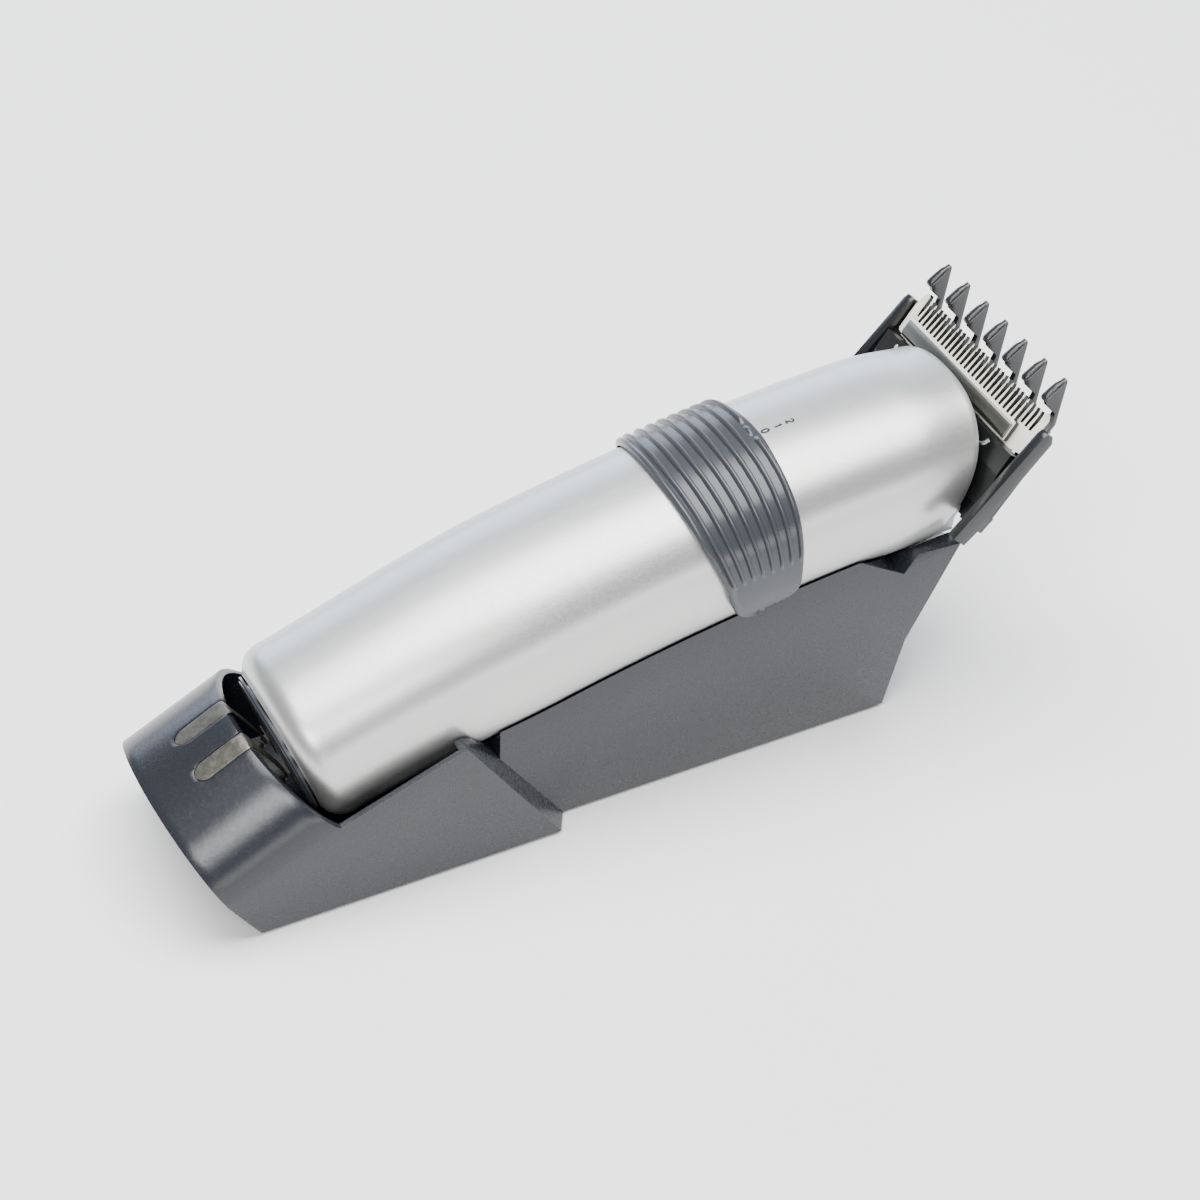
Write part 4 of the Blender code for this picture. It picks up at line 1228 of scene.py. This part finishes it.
@dataclass
class BladeSet:
    """Fixed blade, moving blade and spring, in blade directions ahead and above."""

    tip: tuple[float, float] = (161.3, 64.2)
    angle: float = math.radians(55.0)
    pitch: float = 1.38
    teeth: int = 29
    stroke: float = 2.4
    wire_radius: float = 0.42
    wire_end_radius: float = 0.3

    def layout(self, across: Array, ahead: Array, above: Array) -> Array:
        """Layout points: ahead runs along the blade, above is square to it.

        Args:
            across: y.
            ahead: distance ahead of the fixed teeth's tips.
            above: height over the fixed blade.

        Returns:
            Points with xyz last.
        """
        across, ahead, above = np.broadcast_arrays(*(np.asarray(v, float) for v in (across, ahead, above)))
        cos, sin = math.cos(self.angle), math.sin(self.angle)
        x = self.tip[0] + ahead * cos - above * sin
        z = self.tip[1] + ahead * sin + above * cos
        return np.stack([x, across, z], -1)

    def upward(self) -> Triple:
        """The direction square to the blade, away from its underside."""
        return (-math.sin(self.angle), 0.0, math.cos(self.angle))

    def outline(self, pairs: Pairs) -> Array:
        """(ahead, above) pairs as layout (x, z) points."""
        pairs = np.asarray(pairs, float)
        return self.layout(0.0, pairs[:, 0], pairs[:, 1])[:, [0, 2]]

    def toothed(self, name: str, ends: Pairs, count: int, form: ToothForm, shift: float) -> Piece:
        """A toothed plate: its outline is carried from its lower to its upper level.

        Args:
            name: the piece's name.
            ends: outline points (across, ahead) of the near end, mirrored for the far end.
            count: number of teeth.
            form: the teeth's sizes and the plate's levels.
            shift: how far the plate sits to +y.

        Returns:
            The plate.
        """
        centre = (np.arange(count) - (count - 1) / 2.0) * self.pitch
        half_tooth = [(form.fat, form.root), (form.thin * 1.5, form.tip - 0.5), (form.thin * 0.6, form.tip)]
        tooth = np.array([(-across, ahead) for across, ahead in half_tooth] + half_tooth[::-1])
        row = (tooth[None] + np.stack([centre, np.zeros(count)], -1)[:, None]).reshape(-1, 2)
        ends = np.asarray(ends, float)
        outline = np.vstack([ends, row, ends[::-1] * [-1.0, 1.0]])
        sink = form.taper * ease(outline[:, 1], form.root, form.tip)
        across = outline[:, 0] + shift
        lower = self.layout(across, outline[:, 1], form.under)
        upper = self.layout(across, outline[:, 1], form.over - sink)
        return lofted(name, np.stack([lower, upper]))

    def build_fixed(self) -> Piece:
        """The fixed blade with a broad guard tooth at each end and two screw holes."""
        ends = [
            (-18.0, -16.5), (-18.0, -10.0), (-18.8, -9.3), (-22.2, -8.6), (-22.5, -8.2), (-22.5, -3.0),
            (-22.3, -0.4), (-21.9, 0.3), (-21.4, 0.6), (-20.95, 0.55), (-20.7, 0.2), (-20.35, -4.2),
        ]
        form = ToothForm(root=-4.2, tip=0.0, fat=0.38, thin=0.14, under=-1.5, over=0.0, taper=0.5)
        blade = self.toothed("blade_fixed", ends, self.teeth, form, 0.0)
        bore = [(-1.0, 2.5), (1.15, 2.5), (1.15, 1.4), (4.0, 1.4)]
        holes = [
            turned(f"blade_hole_{number}", self.layout(y, -13.2, -2.0), self.upward(), bore)
            for number, y in enumerate((-10.17, 10.17))
        ]
        combined(blade, holes, Joining.CUT)
        return rounded(blade, 0.07, 1, 50.0)

    def build_cutter(self) -> Piece:
        """The moving blade: a thin toothed plate, half a stroke to the far side."""
        half = 18.6
        ends = [(-half, -8.8), (-half, -4.6)]
        form = ToothForm(root=-4.5, tip=-0.6, fat=0.36, thin=0.12, under=0.3, over=1.3, taper=0.55)
        blade = self.toothed("blade_moving", ends, self.teeth - 3, form, self.stroke / 2.0)
        return rounded(blade, 0.06, 1, 50.0)

    def build_bar(self) -> Piece:
        """The stiff bar on the moving blade, with a bright rear bevel."""
        shift = self.stroke / 2.0
        half = 18.3
        profile = self.outline([
            (-8.6, 1.32), (-5.3, 1.32), (-5.1, 1.5), (-5.15, 1.85), (-5.45, 1.98), (-6.4, 1.95),
            (-7.4, 2.0), (-7.7, 2.05), (-8.0, 1.95), (-8.55, 1.55),
        ])
        return rounded(plate("blade_bar", profile, -half + shift, half + shift), 0.08, 2, 40.0)

    def build_spring(self) -> Piece:
        """The bent wire over the moving blade: a round section on a smooth path."""
        near = [
            (-16.6, -9.9, 3.6), (-16.2, -11.0, 3.9), (-15.0, -11.8, 3.95), (-12.5, -12.7, 4.35),
            (-8.0, -13.0, 4.6),
        ]
        corners = np.array(near + [(-across, ahead, above) for across, ahead, above in near[::-1]])
        line = smooth_path(corners, 120)
        path = self.layout(line[:, 0], line[:, 1], line[:, 2])
        size = np.full(len(path), self.wire_radius)
        size[[0, -1]] = self.wire_end_radius
        return swept("spring_wire", path, size, size, self.upward(), 14)

    def build(self, fitter: Fitter) -> None:
        """Builds and fits the blades, the bar and the spring."""
        fitter.fit(self.build_fixed(), BRIGHT_STEEL, Body.CLIPPER, "fixed_blade")
        fitter.fit(self.build_cutter(), BRIGHT_STEEL, Body.CUTTER, "moving_blade")
        fitter.fit(self.build_bar(), GROUND_STEEL, Body.CUTTER, "moving_blade")
        fitter.fit(self.build_spring(), ZINC_WIRE, Body.CLIPPER, "tension_spring")


@dataclass
class GuardComb:
    """The clip-on guard comb: arms, cross bars and barbed teeth with a beaded edge."""

    blades: BladeSet
    teeth: int = 7
    pitch: float = 6.78
    tooth_half: float = 0.62
    arm_low: float = 23.0
    arm_high: float = 25.0
    arm: tuple[tuple[float, float], ...] = (
        (141.2, 44.2), (158.6, 62.4), (159.6, 62.9), (160.8, 62.0), (160.8, 60.2), (146.1, 43.9),
        (143.7, 41.8),
    )

    def build_tooth(self, name: str, y: float) -> Piece:
        """One tooth: a thin runner under the blade and a barb ahead of it."""
        shape = self.blades.outline([
            (-22.5, -3.4), (-3.0, -4.2), (-1.0, -4.35), (0.8, -3.4), (7.6, 0.05), (8.0, 0.45), (7.6, 0.75),
            (3.3, 2.4), (2.7, 2.35), (2.6, 1.9), (1.7, 0.9), (0.9, -2.2), (-2.0, -2.9), (-22.5, -2.3),
        ])
        return rounded(plate(name, shape, y - self.tooth_half, y + self.tooth_half), 0.2, 2, 30.0)

    def build_bead(self, name: str, y: float) -> Piece:
        """The rounded bead along a tooth's upper edge, thickest at its barb."""
        corners = np.array([(7.75, 0.42), (6.8, 0.9), (5.0, 1.62), (3.4, 2.2), (2.95, 2.2), (2.75, 1.9)])
        count = 40
        line = smooth_path(corners, count)
        path = self.blades.layout(y, line[:, 0], line[:, 1])
        size = 0.86 - 0.45 * ease(line[:, 0], 5.8, 7.75)
        size *= 0.72 + 0.28 * ease(np.arange(count)[::-1], 0.0, 6.0)
        return swept(name, path, size, size * 0.62, self.blades.upward(), 18, 2.6)

    def build(self, fitter: Fitter) -> None:
        """Builds the comb as one moulding and fits it."""
        outline = np.array(self.arm)
        comb = plate("comb_moulding", outline, -self.arm_high, -self.arm_low)
        parts = [plate("arm_far", outline, self.arm_low, self.arm_high)]
        ledge = [(141.9, 43.5), (150.6, 52.8), (152.8, 50.6), (146.2, 43.6), (143.8, 41.6)]
        web = self.blades.outline([(-22.0, -2.6), (-22.0, 0.0), (-25.5, 0.6), (-25.5, -2.0)])
        link = self.blades.outline([
            (-3.0, -2.9), (-3.0, -2.0), (-9.0, -1.75), (-18.5, -0.05), (-21.5, 0.05), (-25.5, 0.6),
            (-25.5, -2.1),
        ])
        flanges = (("ledge", ledge, 22.8, 24.0), ("web", web, 20.8, 23.6), ("link", link, 19.0, 23.6))
        for side in (-1.0, 1.0):
            for label, shape, low, high in flanges:
                near, far = sorted((side * low, side * high))
                parts.append(plate(f"{label}_{side:+.0f}", shape, near, far))
        front_bar = self.blades.outline([(-2.6, -4.3), (-2.3, -2.3), (-6.0, -2.3), (-6.0, -4.1)])
        rear_bar = self.blades.outline([
            (-21.0, -3.6), (-21.0, -2.1), (-22.6, -0.9), (-25.5, -0.7), (-25.5, -2.2),
        ])
        parts.append(plate("front_bar", front_bar, -21.0, 21.0))
        parts.append(plate("rear_bar", rear_bar, -22.0, 22.0))
        rounded(combined(comb, parts, Joining.ADD), 0.4, 3, 40.0)
        more = []
        for number in range(self.teeth):
            y = (number - (self.teeth - 1) / 2.0) * self.pitch
            more.append(self.build_tooth(f"tooth_{number}", y))
            more.append(self.build_bead(f"bead_{number}", y))
        combined(comb, more, Joining.ADD)
        fitter.fit(comb, COMB_POLYPROPYLENE, Body.COMB, "guard_comb")


# ------------------------------------------------------------------ frame nodes
NODE_FINISHES: dict[str, Finish] = {
    "stand_base_plate": STAND_ABS,
    "rubber_foot_": FOOT_RUBBER,
    "base_screw_": ZINC_WIRE,
    "charging_board": BOARD_MASK,
    "power_inlet": HEAD_NYLON,
    "inlet_pin": NICKEL_STRIP,
    "shell_screw_": ZINC_WIRE,
    "charging_plate_": NICKEL_STRIP,
    "battery_cell_": CELL_SLEEVE,
    "circuit_board": BOARD_MASK,
    "slide_switch": NICKEL_STRIP,
    "inner_tray": HEAD_NYLON,
    "motor": ZINC_WIRE,
    "head_frame": HEAD_NYLON,
    "blade_screw_": ZINC_WIRE,
    "switch_link": HEAD_NYLON,
    "switch_knob": HEAD_NYLON,
    "eccentric": PALE_ABS,
    "blade_driver": PALE_ABS,
}


def dress_nodes(nodes: dict[str, Piece], dresser: Dresser) -> None:
    """Gives the frame nodes that no piece stands for their own finishes.

    Args:
        nodes: the frame's nodes by name; a finish goes by how the name starts.
        dresser: hands out the materials.
    """
    for name, piece in nodes.items():
        match = next((finish for start, finish in NODE_FINISHES.items() if name.startswith(start)), None)
        if match is not None:
            dresser.dress_node(piece, match)
            LOG.info("node %s dressed as %s", name, match.name)


# ------------------------------------------------------------------ studio
@dataclass
class Studio:
    """Pale floor, soft lights and the camera."""

    azimuth: float = math.radians(-28.347)
    elevation: float = math.radians(40.767)
    roll: float = math.radians(2.0)
    location: Triple = (-0.2099956, -0.39523584, 0.4203458)
    lens: float = 94.41
    sensor: float = 36.0
    middle: Triple = (0.0, 0.0, 0.03)

    def axes(self) -> tuple[Array, Array, Array]:
        """The camera's right, up and back directions."""
        cos_e, sin_e = math.cos(self.elevation), math.sin(self.elevation)
        back = np.array([math.sin(self.azimuth) * cos_e, -math.cos(self.azimuth) * cos_e, sin_e])
        right = np.array([math.cos(self.azimuth), math.sin(self.azimuth), 0.0])
        up = np.cross(back, right)
        cos_r, sin_r = math.cos(self.roll), math.sin(self.roll)
        return right * cos_r + up * sin_r, up * cos_r - right * sin_r, back

    def camera(self) -> None:
        """Places the camera and makes it the scene's own."""
        right, up, back = self.axes()
        lens = bpy.data.cameras.new("studio_camera")
        lens.lens = self.lens
        lens.sensor_width = self.sensor
        lens.clip_start = 0.01
        rig = bpy.data.objects.new("studio_camera", lens)
        columns = np.column_stack([right, up, back, self.location])
        rig.matrix_world = Matrix(np.vstack([columns, [0.0, 0.0, 0.0, 1.0]]).tolist())
        bpy.context.scene.collection.objects.link(rig)
        bpy.context.scene.camera = rig

    def floor(self) -> None:
        """A wide pale paper floor under the object."""
        size = 3000.0
        corners = np.array([(-size, -size), (size, -size), (size, size), (-size, size)])
        points = np.insert(corners, 2, -FOOT_DROP, axis=1)
        sheet = make_mesh("floor_paper", points, [[0, 1, 2, 3]])
        sheet.data.materials.append(FLOOR_PAPER.make())

    def light(
        self, name: str, place: Triple, size: tuple[float, float], power: float, tint: str = "#FFFFFF"
    ) -> None:
        """A rectangular softbox that faces the object's middle.

        Args:
            name: the lamp's name.
            place: its position in metres.
            size: its width and height in metres.
            power: its power in watts.
            tint: its colour.
        """
        lamp = bpy.data.lights.new(name, "AREA")
        lamp.shape = "RECTANGLE"
        lamp.size, lamp.size_y = size
        lamp.energy = power
        lamp.color = hex_to_linear(tint)[:3]
        rig = bpy.data.objects.new(name, lamp)
        rig.location = place
        aim = Vector(self.middle) - Vector(place)
        rig.rotation_euler = aim.to_track_quat("-Z", "Y").to_euler()
        bpy.context.scene.collection.objects.link(rig)

    def build(self) -> None:
        """Sets the camera, the floor, the sky and the lamps."""
        self.camera()
        self.floor()
        sky = bpy.data.worlds.new("studio_sky")
        sky.use_nodes = True
        ground = sky.node_tree.nodes["Background"]
        ground.inputs["Color"].default_value = hex_to_linear("#EEF1F5")
        ground.inputs["Strength"].default_value = 0.3
        bpy.context.scene.world = sky
        self.light("top_box", (0.05, 0.1, 1.0), (1.2, 0.8), 30.0)
        self.light("key_box", (-0.52, -0.50, 0.80), (0.50, 0.34), 7.5)
        self.light("front_panel", (0.1, -1.2, 0.22), (1.5, 0.3), 6.0)
        self.light("back_panel", (0.25, 0.95, 0.35), (1.3, 0.5), 9.0, "#DCE8FF")


def main(nodes: dict[str, Piece]) -> None:
    """Builds every sub-assembly in order.

    Args:
        nodes: the frame's nodes by name.
    """
    logging.basicConfig(level=logging.INFO, format="%(name)s %(message)s")
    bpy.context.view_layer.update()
    Studio().build()
    dresser = Dresser()
    fitter = Fitter(dresser)
    form = BodyForm()
    Stand(form).build(fitter)
    Shells(form).build(fitter)
    TailTrim(form).build(fitter)
    Ring(form).build(fitter)
    blades = BladeSet()
    blades.build(fitter)
    GuardComb(blades).build(fitter)
    dress_nodes(nodes, dresser)


if __name__ == "__main__":
    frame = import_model()
    main(frame["nodes"])
